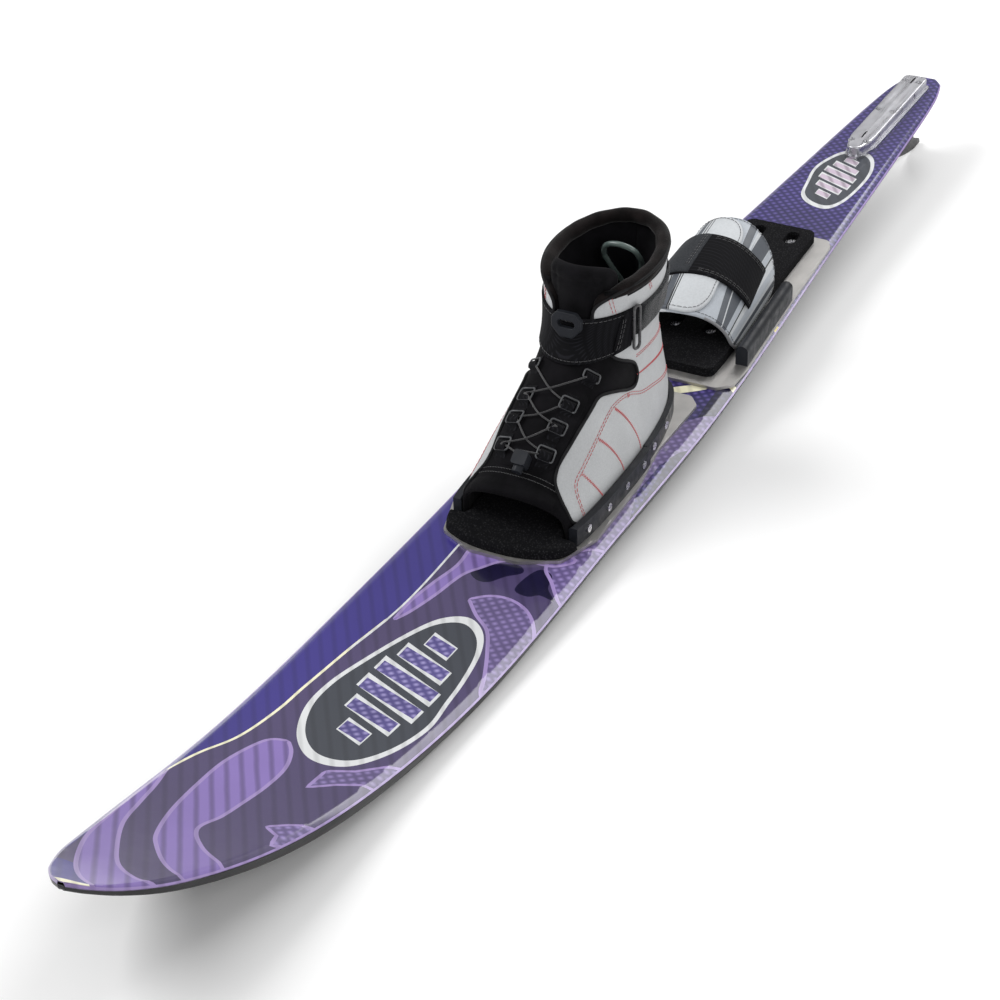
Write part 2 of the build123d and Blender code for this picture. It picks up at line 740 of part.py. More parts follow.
pull_x = front_at(146, 0, strap_gap + strap_thickness) + 1.5
pull_low = 139.0
pull_plane = Plane(origin=(pull_x, 0, pull_low), x_dir=(0, 1, 0), z_dir=(1, 0, 0))
with BuildPart() as lace_pull:
    with BuildSketch(pull_plane) as pull_plan:
        with BuildLine():
            Polyline((-6, 0), (-14, 9), (-14, 18), (-9, 24), (9, 24), (14, 18), (14, 9), (6, 0), close=True)
        make_face()
        fillet(pull_plan.vertices(), 3)
        with Locations((0, 13)):
            SlotOverall(16, 7, mode=Mode.SUBTRACT)
    extrude(amount=4.5)
    fillet(lace_pull.faces().sort_by(Axis.X)[-1].edges(), 1)

# ---------------------------------------------------------------- heel pull loop
loop_lean = radians(24)
loop_up = Vector(sin(loop_lean), 0, cos(loop_lean))
loop_plane = Plane(origin=(loop_x + 1.0, 0, loop_z + 3), x_dir=(0, 1, 0), z_dir=loop_up.cross(Vector(0, 1, 0)) * -1)
loop_radius = 2.6
loop_path = [(-4, 0), (-17, 42), (-13, 60), (13, 60), (17, 42), (4, 0)]
with BuildPart() as heel_pull_loop:
    with BuildLine(loop_plane) as loop_line:
        FilletPolyline(*loop_path, radius=9)
    with BuildSketch(Plane(origin=loop_line.line @ 0, z_dir=loop_line.line % 0)):
        Circle(loop_radius)
    sweep(path=loop_line.line)

# ---------------------------------------------------------------- rear toe strap
arch_base = plate_top
arch_slices = [(arch_rear, 45.0, 78.0), ((arch_rear + arch_front) / 2, 50.0, 66.0), (arch_front, 54.0, 45.0)]
arch_square = 2.3


def arch_form(grow):
    """The solid under the strap's arch, pushed out by grow, open to neither end."""
    with BuildPart() as form:
        for x, half, top in arch_slices:
            with BuildSketch(Plane.YZ.offset(x)):
                with BuildLine():
                    points = []
                    for k in range(13):
                        angle = pi * k / 12
                        across = abs(cos(angle)) ** (2 / arch_square) * (half + grow)
                        rise = sin(angle) ** (2 / arch_square) * (top - arch_base + grow)
                        points.append((across if cos(angle) > 0 else -across, arch_base + max(rise, 0)))
                    Spline(*points)
                    Line(points[-1], points[0])
                make_face()
        loft()
    return form.part


def plan_region(low_x, high_x, low_y, high_y, corner):
    """A tall block over a plan rectangle with rounded corners."""
    with BuildPart() as region:
        with BuildSketch():
            with Locations(((low_x + high_x) / 2, (low_y + high_y) / 2)):
                if corner:
                    RectangleRounded(high_x - low_x, high_y - low_y, corner)
                else:
                    Rectangle(high_x - low_x, high_y - low_y)
        extrude(amount=200)
    return region.part


under_flap_end = -28.0
over_flap_end = 14.0
over_grow = lap_gap + flap_thickness
band_grow = over_grow + lap_gap + band_thickness
with BuildPart() as toe_flap_left:
    add(arch_form(0))
    add(arch_form(-flap_thickness), mode=Mode.SUBTRACT)
    add(plan_region(arch_rear - 1, arch_front + 1, under_flap_end, 100, 0), mode=Mode.INTERSECT)

with BuildPart() as toe_flap_right:
    add(arch_form(over_grow))
    add(arch_form(lap_gap), mode=Mode.SUBTRACT)
    add(plan_region(arch_rear + 1, arch_front - 1, -100, over_flap_end, 24), mode=Mode.INTERSECT)

with BuildPart() as toe_band:
    add(arch_form(band_grow))
    add(arch_form(over_grow + lap_gap), mode=Mode.SUBTRACT)
    add(plan_region(578, 642, -100, 100, 0), mode=Mode.INTERSECT)

bar_run = arch_front - arch_rear
bar_offset = band_grow + lap_gap + bar_width / 2
bar_rear_y = arch_slices[0][1] + bar_offset
bar_front_y = arch_slices[-1][1] + bar_offset + 1.0
bar_turn = atan((bar_front_y - bar_rear_y) / bar_run)


def make_side_bar(side):
    """A round-topped bar along the foot of the toe strap, on the side of y given by the sign."""
    along = (cos(bar_turn), side * sin(bar_turn), 0)
    start = (arch_rear, side * bar_rear_y, plate_top)
    with BuildPart() as bar:
        with BuildSketch(Plane(origin=start, x_dir=(-along[1], along[0], 0), z_dir=along)):
            Rectangle(bar_width, bar_height - bar_width / 2, align=(Align.CENTER, Align.MIN))
            with Locations((0, bar_height - bar_width / 2)):
                Circle(bar_width / 2)
        extrude(amount=bar_run / cos(bar_turn))
    return bar.part

# ---------------------------------------------------------------- screws up through the plates
mount_screw_radius = 1.9
mount_head_radius = 3.4
mount_head_height = 1.4
mount_screw_reach = plate_top + 8.0
bar_screw_xs = [arch_rear + 30, arch_front - 30]
rail_mount_xs = [boot_screw_rows[0] + 18.5, boot_screw_rows[2] + 18.5]
frame_mount_xs = [sum(heel_screw_rows) / 2]


def rail_middle(x, wall):
    return half_at(rail_screw_level, x, (wall + panel_thickness) / 2)


bar_mounts = [(x, side * (bar_rear_y + (x - arch_rear) * tan(bar_turn))) for x in bar_screw_xs
              for side in (-1, 1)]
rail_mounts = [(x, side * rail_middle(x, rail_wall)) for x in rail_mount_xs for side in (-1, 1)]
frame_mounts = [(x, side * rail_middle(x, heel_frame_wall)) for x in frame_mount_xs for side in (-1, 1)]
boot_mounts = rail_mounts + frame_mounts


def make_mount_screws(places):
    with BuildPart() as screws:
        with Locations(*[(x, y, plate_bottom) for x, y in places]):
            Cylinder(mount_head_radius, mount_head_height, align=(Align.CENTER, Align.CENTER, Align.MIN))
            Cylinder(mount_screw_radius, mount_screw_reach - plate_bottom,
                     align=(Align.CENTER, Align.CENTER, Align.MIN))
            Cylinder(1.5, 2 * 1.0, mode=Mode.SUBTRACT)
    return screws.part


def drilled(solid, places):
    """A copy of a solid with the mount screws' holes."""
    with BuildPart() as body:
        add(solid)
        with Locations(*[(x, y, 0) for x, y in places]):
            Cylinder(mount_screw_radius + fit_gap, 2 * mount_screw_reach + 1, mode=Mode.SUBTRACT)
            Cylinder(mount_head_radius + fit_gap, 2 * (plate_bottom + mount_head_height + fit_gap),
                     mode=Mode.SUBTRACT)
    return body.part


with BuildPart() as front_plate:
    add(drilled(make_plate(front_plate_plan, front_screws, 7), boot_mounts))
with BuildPart() as rear_plate:
    add(drilled(make_plate(rear_plate_plan, rear_screws, 7), bar_mounts))
with BuildPart() as side_rail_left:
    add(drilled(boot_clamp(rail_wall, rail_rear, rail_front, 1), rail_mounts))
with BuildPart() as side_rail_right:
    add(drilled(boot_clamp(rail_wall, rail_rear, rail_front, -1), rail_mounts))
with BuildPart() as heel_frame:
    add(drilled(boot_clamp(heel_frame_wall, frame_rear, rail_rear - 1, 0), frame_mounts))
with BuildPart() as side_bar_left:
    add(drilled(make_side_bar(1), bar_mounts))
with BuildPart() as side_bar_right:
    add(drilled(make_side_bar(-1), bar_mounts))

with BuildPart() as boot_mount_screws:
    add(make_mount_screws(boot_mounts))
with BuildPart() as side_bar_screws:
    add(make_mount_screws(bar_mounts))

# ---------------------------------------------------------------- stance and export
pieces = {
    "top_laminate": top_laminate, "ski_core": ski_core, "base_laminate": base_laminate,
    "binding_inserts": binding_inserts, "fin_inserts": fin_inserts, "fin_block_left": fin_block_left,
    "fin_block_right": fin_block_right, "fin_block_screws": fin_block_screws,
    "fin_clamp_screws": fin_clamp_screws, "fin_clamp_nuts": fin_clamp_nuts, "fin_blade": fin_blade,
    "front_plate": front_plate, "front_footbed": front_footbed, "front_plate_screws": front_plate_screws,
    "side_rail_left": side_rail_left, "side_rail_right": side_rail_right, "heel_frame": heel_frame,
    "rail_screws": rail_screws, "heel_frame_screws": heel_frame_screws,
    "boot_mount_screws": boot_mount_screws, "boot_lower": boot_lower, "boot_cuff": boot_cuff,
    "foot_panel_left": foot_panel_left, "foot_panel_right": foot_panel_right,
    "cuff_panel_left": cuff_panel_left, "cuff_panel_right": cuff_panel_right, "tongue": tongue,
    "ankle_strap": ankle_strap, "strap_ring": strap_ring, "lace_loops": lace_loops,
    "loop_tabs": loop_tabs, "upper_lace_loops": upper_lace_loops, "lace": lace,
    "cord_lock_body": cord_lock_body, "cord_lock_button": cord_lock_button,
    "cord_lock_spring": cord_lock_spring, "lace_pull": lace_pull, "heel_pull_loop": heel_pull_loop,
    "rear_plate": rear_plate, "rear_footbed": rear_footbed, "rear_plate_screws": rear_plate_screws,
    "side_bar_left": side_bar_left, "side_bar_right": side_bar_right, "side_bar_screws": side_bar_screws,
    "toe_flap_left": toe_flap_left, "toe_flap_right": toe_flap_right, "toe_band": toe_band,
}


def lowest(part, pitch):
    """Height of the lowest corner of a part after a nose-down turn of pitch radians."""
    return min(v.Z * cos(pitch) - v.X * sin(pitch) for v in part.vertices())


# The nose-down turn at which the fin tip and the rocker touch the ground together.
pitch_low = 0.0
pitch_high = radians(8)
for _ in range(40):
    pitch = (pitch_low + pitch_high) / 2
    if lowest(base_laminate.part, pitch) > lowest(fin_blade.part, pitch):
        pitch_low = pitch
    else:
        pitch_high = pitch

turned = [Rot(0, degrees(pitch), 0) * piece.part for piece in pieces.values()]
boxes = [part.bounding_box() for part in turned]
low_x = min(box.min.X for box in boxes)
high_x = max(box.max.X for box in boxes)
low_z = min(box.min.Z for box in boxes)
stance = Pos(-(low_x + high_x) / 2, 0, -low_z) * Rot(0, degrees(pitch), 0)
print("pitch", degrees(pitch), "shift", -(low_x + high_x) / 2, -low_z)
print("size", high_x - low_x, max(box.max.Z for box in boxes) - low_z)

for name, piece in pieces.items():
    piece.part.label = name
    export_step(stance * piece.part, f"parts/{name}.step")
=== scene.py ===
from math import ceil, cos, pi, radians, sin

import bpy
import numpy as np
from mathutils import Matrix, Vector
from mathutils.geometry import delaunay_2d_cdt


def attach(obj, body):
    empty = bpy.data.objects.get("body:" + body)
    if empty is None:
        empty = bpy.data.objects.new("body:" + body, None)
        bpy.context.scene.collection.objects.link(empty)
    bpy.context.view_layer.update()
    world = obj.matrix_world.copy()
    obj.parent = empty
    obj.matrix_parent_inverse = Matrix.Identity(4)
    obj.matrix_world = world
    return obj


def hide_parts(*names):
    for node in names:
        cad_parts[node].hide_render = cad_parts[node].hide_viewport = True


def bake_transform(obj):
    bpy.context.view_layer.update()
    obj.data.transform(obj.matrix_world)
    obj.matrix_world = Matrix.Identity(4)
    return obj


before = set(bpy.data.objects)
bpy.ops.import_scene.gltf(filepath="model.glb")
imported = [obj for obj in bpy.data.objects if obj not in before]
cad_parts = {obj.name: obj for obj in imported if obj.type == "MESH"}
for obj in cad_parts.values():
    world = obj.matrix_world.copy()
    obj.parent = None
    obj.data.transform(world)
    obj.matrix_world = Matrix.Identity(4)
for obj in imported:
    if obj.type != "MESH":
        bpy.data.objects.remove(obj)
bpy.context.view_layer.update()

# ---------------------------------------------------------------- deck frame to row frame
# Shapes are worked out in mm in the deck frame (x from the tail to the tip, y to the rider's left, z up
# from the flat of the deck), then stood on the fin tip and the rocker as the frame is.
PITCH = radians(3.0438051932505914)
SHIFT = np.array([-839.8311675991133, 0.0, 78.16575729818246])
TURN = np.array([[cos(PITCH), 0, sin(PITCH)], [0, 1, 0], [-sin(PITCH), 0, cos(PITCH)]])


def placed(points):
    return (np.asarray(points, float).reshape(-1, 3) @ TURN.T + SHIFT) / 1000


# ---------------------------------------------------------------- materials
def set_input(shader, name, value):
    shader.inputs[name].default_value = (*value, 1) if isinstance(value, tuple) else value


class Finish:
    """One procedural material: a Principled shader and short calls for the nodes that feed it."""

    def __init__(self, name, color, rough, **more):
        self.mat = bpy.data.materials.new(name)
        self.mat.use_nodes = True
        self.nodes = self.mat.node_tree.nodes
        self.links = self.mat.node_tree.links
        self.shader = self.nodes["Principled BSDF"]
        set_input(self.shader, "Base Color", color)
        set_input(self.shader, "Roughness", rough)
        for key, value in more.items():
            set_input(self.shader, key.replace("_", " "), value)
        self.place = self.nodes.new("ShaderNodeTexCoord").outputs["Object"]

    def mapped(self, scale=(1, 1, 1), turn=(0, 0, 0)):
        node = self.nodes.new("ShaderNodeMapping")
        node.inputs["Scale"].default_value = scale
        node.inputs["Rotation"].default_value = turn
        self.links.new(self.place, node.inputs["Vector"])
        return node.outputs["Vector"]

    def noise(self, scale, detail=3.0, stretch=(1, 1, 1), distortion=0.0):
        node = self.nodes.new("ShaderNodeTexNoise")
        node.inputs["Scale"].default_value = scale
        node.inputs["Detail"].default_value = detail
        node.inputs["Distortion"].default_value = distortion
        self.links.new(self.mapped(stretch), node.inputs["Vector"])
        return node.outputs["Fac"]

    def cells(self, scale, stretch=(1, 1, 1)):
        node = self.nodes.new("ShaderNodeTexVoronoi")
        node.inputs["Scale"].default_value = scale
        self.links.new(self.mapped(stretch), node.inputs["Vector"])
        return node.outputs["Distance"]

    def bands(self, scale, turn=(0, 0, 0), axis="X", distortion=0.0):
        node = self.nodes.new("ShaderNodeTexWave")
        node.bands_direction = axis
        node.inputs["Scale"].default_value = scale
        node.inputs["Distortion"].default_value = distortion
        self.links.new(self.mapped(turn=turn), node.inputs["Vector"])
        return node.outputs["Fac"]

    def math(self, kind, a, b):
        node = self.nodes.new("ShaderNodeMath")
        node.operation = kind
        for socket, value in zip(node.inputs, (a, b)):
            if isinstance(value, (int, float)):
                socket.default_value = value
            else:
                self.links.new(value, socket)
        return node.outputs[0]

    def ramp(self, fac, low, high, start=0.3, end=0.7):
        node = self.nodes.new("ShaderNodeValToRGB")
        node.color_ramp.elements[0].position = start
        node.color_ramp.elements[1].position = end
        node.color_ramp.elements[0].color = (*low, 1)
        node.color_ramp.elements[1].color = (*high, 1)
        self.links.new(fac, node.inputs["Fac"])
        return node.outputs["Color"]

    def colored(self, fac, low, high, start=0.3, end=0.7):
        self.links.new(self.ramp(fac, low, high, start, end), self.shader.inputs["Base Color"])
        return self

    def tinted(self, fac, first, second, spread_fac, spread=0.12, start=0.3, end=0.7):
        """Colour that goes from first to second by fac, and lighter and darker by spread_fac."""
        base = self.ramp(fac, first, second, start, end)
        tone = self.ramp(spread_fac, (1 - spread,) * 3, (1 + spread,) * 3, 0.25, 0.75)
        node = self.nodes.new("ShaderNodeMix")
        node.data_type = "RGBA"
        node.blend_type = "MULTIPLY"
        node.inputs["Factor"].default_value = 1.0
        self.links.new(base, node.inputs[6])
        self.links.new(tone, node.inputs[7])
        self.links.new(node.outputs[2], self.shader.inputs["Base Color"])
        return self

    def roughened(self, fac, low, high, start=0.3, end=0.7):
        node = self.nodes.new("ShaderNodeMapRange")
        node.inputs["From Min"].default_value = start
        node.inputs["From Max"].default_value = end
        node.inputs["To Min"].default_value = low
        node.inputs["To Max"].default_value = high
        self.links.new(fac, node.inputs["Value"])
        self.links.new(node.outputs[0], self.shader.inputs["Roughness"])
        return self

    def bumped(self, height, distance, strength=1.0):
        node = self.nodes.new("ShaderNodeBump")
        node.inputs["Strength"].default_value = strength
        node.inputs["Distance"].default_value = distance
        self.links.new(height, node.inputs["Height"])
        self.links.new(node.outputs["Normal"], self.shader.inputs["Normal"])
        return self


def shade(color, share):
    return tuple(c * share for c in color)


def lacquer(name, color, weave=0.0, streaks=0.08, second=None):
    """Printed deck colour under a clear gloss coat, with the carbon's checks or cross grain showing."""
    finish = Finish(name, color, 0.42, Coat_Weight=0.55, Coat_Roughness=0.1, Specular_IOR_Level=0.2)
    second = second or shade(color, 1 + streaks)
    if weave:
        turn = (0, 0, radians(45))
        fine = finish.math("MULTIPLY", finish.bands(44, turn, "X"), finish.bands(44, turn, "Y"))
        cloud = finish.noise(14, 2)
        finish.tinted(fine, shade(color, 1 - weave), second, cloud, 0.22, 0.0, 0.95)
    else:
        grain = finish.bands(28, (0, 0, radians(57)), "X", 0.35)
        finish.tinted(grain, shade(color, 1 - 1.5 * streaks), second, finish.noise(7, 3), 0.1, 0.0, 0.5)
    finish.roughened(finish.noise(30, 4), 0.28, 0.42)
    return finish


finishes = {}


def keep(key, finish):
    finishes[key] = finish.mat
    return finish


INDIGO = (0.036, 0.026, 0.19)
PLUM = (0.062, 0.046, 0.118)
LILAC = (0.19, 0.13, 0.36)
keep("indigo", lacquer("deck_indigo", INDIGO))
keep("plum", lacquer("deck_plum", PLUM, streaks=0.1))
keep("lilac", lacquer("deck_lilac", LILAC, streaks=0.2))
keep("lilac_weave", lacquer("deck_lilac_weave", (0.15, 0.11, 0.28), 0.3, second=(0.25, 0.19, 0.42)))
keep("lilac_line", lacquer("deck_lilac_line", (0.3, 0.22, 0.46)))
keep("carbon", lacquer("deck_carbon", (0.02, 0.012, 0.12), 0.3, second=(0.1, 0.075, 0.3)))
keep("carbon_dark", lacquer("deck_carbon_dark", (0.01, 0.008, 0.045), 0.3, second=(0.03, 0.026, 0.09)))
keep("blotch", lacquer("deck_blotch", (0.008, 0.006, 0.03)))
keep("slate", lacquer("deck_slate", (0.04, 0.045, 0.058)))
keep("white", lacquer("deck_white", (0.62, 0.63, 0.64)))
keep("cream", lacquer("deck_cream", (0.75, 0.72, 0.52)))
keep("yellow", lacquer("deck_yellow", (0.75, 0.62, 0.12)))
keep("mauve", lacquer("deck_mauve", (0.46, 0.38, 0.46), streaks=0.2))
keep("chrome", lacquer("deck_chrome", (0.1, 0.08, 0.28), 0.2, second=(0.3, 0.26, 0.52)))

base_black = keep("base", Finish("base_plastic", (0.008, 0.008, 0.009), 0.34, Specular_IOR_Level=0.35))
base_black.colored(base_black.noise(26, 4), (0.005, 0.005, 0.006), (0.012, 0.012, 0.014))
base_black.roughened(base_black.noise(70, 5, (0.15, 1, 1)), 0.26, 0.5)
base_black.bumped(base_black.noise(900, 2), 0.00004)

foam_core = keep("core", Finish("core_foam", (0.42, 0.36, 0.2), 0.8))
foam_core.colored(foam_core.noise(300, 3), (0.36, 0.31, 0.17), (0.5, 0.43, 0.26))

brass = keep("brass", Finish("insert_brass", (0.6, 0.42, 0.16), 0.3, Metallic=1.0))
brass.roughened(brass.noise(400, 3), 0.22, 0.4)

alloy = keep("alloy", Finish("plate_alloy", (0.42, 0.41, 0.4), 0.45, Metallic=0.85))
alloy.colored(alloy.noise(40, 4), (0.38, 0.37, 0.36), (0.47, 0.455, 0.44))
alloy.roughened(alloy.noise(160, 4, (0.06, 1, 1)), 0.36, 0.52)
alloy.bumped(alloy.noise(700, 3, (0.04, 1, 1)), 0.00003)

block_alloy = keep("fin_alloy", Finish("block_alloy", (0.5, 0.5, 0.52), 0.34, Metallic=1.0))
block_alloy.colored(block_alloy.noise(60, 3), (0.46, 0.46, 0.49), (0.58, 0.58, 0.61))
block_alloy.roughened(block_alloy.noise(220, 4, (0.05, 1, 1)), 0.24, 0.4)
block_alloy.bumped(block_alloy.noise(1500, 3, (0.03, 1, 1)), 0.00002)

fin_black = keep("fin_black", Finish("fin_anodised", (0.016, 0.016, 0.018), 0.4, Metallic=0.6))
fin_black.roughened(fin_black.noise(300, 4), 0.3, 0.5)
fin_black.bumped(fin_black.noise(1600, 3), 0.00002)

steel = keep("steel", Finish("screw_steel", (0.62, 0.62, 0.64), 0.24, Metallic=1.0))
steel.roughened(steel.noise(900, 3), 0.16, 0.36)
steel.bumped(steel.noise(2400, 2), 0.00002)

nylon = keep("nylon", Finish("moulded_nylon", (0.012, 0.013, 0.017), 0.52, Specular_IOR_Level=0.18))
nylon.colored(nylon.noise(35, 3), (0.009, 0.01, 0.013), (0.017, 0.019, 0.024))
nylon.roughened(nylon.noise(140, 4), 0.36, 0.58)
nylon.bumped(nylon.noise(1800, 3), 0.00007)

eva = keep("eva", Finish("footbed_eva", (0.006, 0.006, 0.007), 0.88, Specular_IOR_Level=0.08))
eva.colored(eva.cells(520), (0.03, 0.03, 0.032), (0.005, 0.005, 0.006), 0.08, 0.4)
eva.bumped(eva.noise(700, 4), 0.0005)

# ---------------------------------------------------------------- mesh tools
def add_mesh(name, points, faces, mats, normals=None, face_mats=None, smooth=True):
    """A mesh object from points in mm in the deck frame. normals, if given, are one per point."""
    mesh = bpy.data.meshes.new(name)
    mesh.from_pydata(placed(points).tolist(), [], [list(map(int, f)) for f in faces])
    for mat in mats if isinstance(mats, (list, tuple)) else [mats]:
        mesh.materials.append(mat)
    mesh.polygons.foreach_set("use_smooth", [smooth] * len(mesh.polygons))
    if face_mats is not None:
        mesh.polygons.foreach_set("material_index", [int(k) for k in face_mats])
    mesh.update()
    if normals is not None:
        mesh.normals_split_custom_set_from_vertices((np.asarray(normals) @ TURN.T).tolist())
    piece = bpy.data.objects.new(name, mesh)
    bpy.context.scene.collection.objects.link(piece)
    return piece


def smooth_line(points, step, closed=False):
    """Points every step mm or so along a smooth line through the given ones."""
    given = np.asarray(points, float)
    count = len(given)
    result = []
    for i in range(count if closed else count - 1):
        a, b = given[i], given[(i + 1) % count]
        before = given[i - 1] if closed or i else a
        after = given[(i + 2) % count] if closed or i + 2 < count else b
        pieces_in_run = max(1, int(ceil(np.linalg.norm(b - a) / step)))
        for k in range(pieces_in_run):
            t = k / pieces_in_run
            result.append(0.5 * (2 * a + (b - before) * t + (2 * before - 5 * a + 4 * b - after) * t**2
                                 + (3 * a - before - 3 * b + after) * t**3))
    if not closed:
        result.append(given[-1])
    return np.array(result)


def straight_line(points, step, closed=False):
    """Points every step mm or so along straight runs between the given ones."""
    given = np.asarray(points, float)
    count = len(given)
    result = []
    for i in range(count if closed else count - 1):
        a, b = given[i], given[(i + 1) % count]
        pieces_in_run = max(1, int(ceil(np.linalg.norm(b - a) / step)))
        result += [a + (b - a) * k / pieces_in_run for k in range(pieces_in_run)]
    if not closed:
        result.append(given[-1])
    return np.array(result)


def ribbon(line, width):
    """The closed outline of a band of that width along a line in two dimensions, with pointed ends."""
    line = np.asarray(line, float)
    run = np.gradient(line, axis=0)
    side = np.stack([-run[:, 1], run[:, 0]], 1) / np.maximum(np.linalg.norm(run, axis=1), 1e-9)[:, None]
    half = width / 2 * np.ones(len(line))
    half[0] = half[-1] = width / 8
    return np.concatenate([line + side * half[:, None], (line - side * half[:, None])[::-1]])


def inside(points, outline):
    """Which of the points lie inside a closed outline."""
    points, outline = np.asarray(points, float), np.asarray(outline, float)
    result = np.zeros(len(points), bool)
    for a, b in zip(outline, np.roll(outline, -1, axis=0)):
        if a[1] == b[1]:
            continue
        crosses = (points[:, 1] < a[1]) != (points[:, 1] < b[1])
        at = a[0] + (points[:, 1] - a[1]) * (b[0] - a[0]) / (b[1] - a[1])
        result ^= crosses & (points[:, 0] < at)
    return result


def distance_to(points, outline, closed=True):
    """Distance of each point from an outline."""
    points, outline = np.asarray(points, float), np.asarray(outline, float)
    ends = np.roll(outline, -1, axis=0) if closed else outline[1:]
    starts = outline if closed else outline[:-1]
    best = np.full(len(points), 1e9)
    for a, b in zip(starts, ends):
        run = b - a
        t = np.clip((points - a) @ run / max(run @ run, 1e-12), 0, 1)
        best = np.minimum(best, np.linalg.norm(points - a - t[:, None] * run, axis=1))
    return best


def triangulated(outline, lines, loose):
    """Delaunay triangles of a closed outline with other lines kept as edges: (points, triangles)."""
    points, edges = [], []

    def add(line, closed):
        start = len(points)
        points.extend(Vector((float(p[0]), float(p[1]))) for p in line)
        edges.extend((start + k, start + k + 1) for k in range(len(line) - 1))
        if closed:
            edges.append((start + len(line) - 1, start))

    add(outline, True)
    for line, closed in lines:
        add(line, closed)
    points.extend(Vector((float(p[0]), float(p[1]))) for p in loose)
    flat, _, triangles, _, _, _ = delaunay_2d_cdt(points, edges, [], 0, 1e-4)
    flat = np.array([(p.x, p.y) for p in flat])
    triangles = np.array([t for t in triangles], int)
    triangles = triangles[inside(flat[triangles].mean(axis=1), outline)]
    used, triangles = np.unique(triangles, return_inverse=True)
    return flat[used], triangles.reshape(-1, 3)


def border_edges(triangles):
    """Directed edges that only one triangle has."""
    seen = {}
    for t in triangles:
        for a, b in ((t[0], t[1]), (t[1], t[2]), (t[2], t[0])):
            seen[(a, b)] = True
    return [e for e in seen if (e[1], e[0]) not in seen]


def closed_shell(name, outer, inner, triangles, mats, normals=None, face_mats=None, back_mat=None):
    """A closed solid from an outer and an inner surface on the same triangles, joined round the edge."""
    count = len(outer)
    points = np.concatenate([outer, inner])
    faces = [list(t) for t in triangles] + [[t[0] + count, t[2] + count, t[1] + count] for t in triangles]
    rim = [[b, a, a + count, b + count] for a, b in border_edges(triangles)]
    if face_mats is not None:
        back = face_mats if back_mat is None else [back_mat] * len(triangles)
        face_mats = list(face_mats) + list(back) + [0] * len(rim)
    if normals is not None:
        normals = np.concatenate([normals, -np.asarray(normals)])
    return add_mesh(name, points, faces + rim, mats, normals, face_mats)


def grid_faces(rows, columns, wrap=False):
    span = columns if wrap else columns - 1
    return [[r * columns + c, r * columns + (c + 1) % columns, (r + 1) * columns + (c + 1) % columns,
             (r + 1) * columns + c] for r in range(rows - 1) for c in range(span)]


# ---------------------------------------------------------------- ski blank
LENGTH, WIDTH, TIP_RISE, ROCKER_START, ROCKER_POWER = 1676.0, 163.2, 122.0, 1040.0, 2.79
RAIL_DROP, HOLLOW = 4.0, 2.5
width_shares = [(0, 0.2), (0.004, 0.262), (0.03, 0.368), (0.1, 0.478), (0.25, 0.672), (0.45, 0.946),
                (0.6, 0.973), (0.72, 1), (0.82, 0.93), (0.9, 0.8), (0.96, 0.562), (0.985, 0.35),
                (0.996, 0.17), (1, 0.04)]
thickness_shares = [(0, 8.5), (0.12, 9.5), (0.24, 14), (0.5, 20), (0.72, 17), (0.9, 13.5), (0.97, 11), (1, 8)]
tuck_shares = [(0, 8), (0.6, 8), (0.74, 5), (0.87, 1.5), (1, 1)]
bevel_shares = [(0, 4), (0.1, 7), (0.25, 9), (0.5, 10), (0.8, 9), (0.95, 6), (0.99, 3), (1, 1)]


def between(table, share):
    """The value at a share of the length on a smooth line through the table's (share, value) pairs."""
    last = len(table) - 1
    i = max(k for k in range(last) if table[k][0] <= share or k == 0)
    (x0, y0), (x1, y1) = table[i], table[i + 1]
    before, after = table[max(i - 1, 0)], table[min(i + 2, last)]
    slope0 = (y1 - before[1]) / (x1 - before[0])
    slope1 = (after[1] - y0) / (after[0] - x0)
    run, t = x1 - x0, (share - x0) / (x1 - x0)
    return ((2 * t**3 - 3 * t**2 + 1) * y0 + (t**3 - 2 * t**2 + t) * run * slope0
            + (3 * t**2 - 2 * t**3) * y1 + (t**3 - t**2) * run * slope1)


TIP_RUN = 176
ski_xs = np.concatenate([[0, 1.5, 3, 6, 9], np.arange(16, LENGTH - TIP_RUN, 12.0),
                         LENGTH - TIP_RUN * np.linspace(1, 0, 36)**1.7])
halves = np.array([WIDTH / 2 * between(width_shares, x / LENGTH) for x in ski_xs])
thicks = np.array([between(thickness_shares, x / LENGTH) for x in ski_xs])
bevels = np.minimum([between(bevel_shares, x / LENGTH) for x in ski_xs], 0.7 * halves)


def deck_height(x):
    run = np.maximum(0.0, (np.asarray(x, float) - ROCKER_START) / (LENGTH - ROCKER_START))
    return TIP_RISE * run**ROCKER_POWER


def on_deck(flat, lift=0.0):
    """Points (x, y) laid on the deck and its bevel, and the surface normals there."""
    x, y = flat[:, 0], flat[:, 1]
    half, thick = np.interp(x, ski_xs, halves), np.interp(x, ski_xs, thicks)
    bevel = np.interp(x, ski_xs, bevels)
    drop = np.minimum(RAIL_DROP, 0.4 * thick)
    t = np.clip((np.abs(y) - half + bevel) / bevel, 0, 1)
    z = deck_height(x) - drop * t**1.25 + lift
    slope = (deck_height(x + 1) - deck_height(x - 1)) / 2
    across = drop * 1.25 * t**0.25 / bevel * (t > 0) * np.sign(y)
    normals = np.stack([-slope, across, np.ones(len(x))], 1)
    return np.stack([x, y, z], 1), normals / np.linalg.norm(normals, axis=1)[:, None]


right_edge = np.stack([ski_xs, halves], 1)
deck_outline = np.concatenate([right_edge, (right_edge * (1, -1))[::-1]])
# The next two lines give the inner edge of a pale strip about 1.3 mm wide along both long edges of the deck: a
# painted highlight along the edge.
edge_highlight_inset = np.stack([ski_xs, halves - np.minimum(1.3, 0.3 * halves)], 1)
edge_highlight_line = np.concatenate([edge_highlight_inset, (edge_highlight_inset * (1, -1))[::-1]])
bevel_line = np.stack([ski_xs, halves - bevels], 1)
bevel_mid = np.stack([ski_xs, halves - bevels / 2], 1)

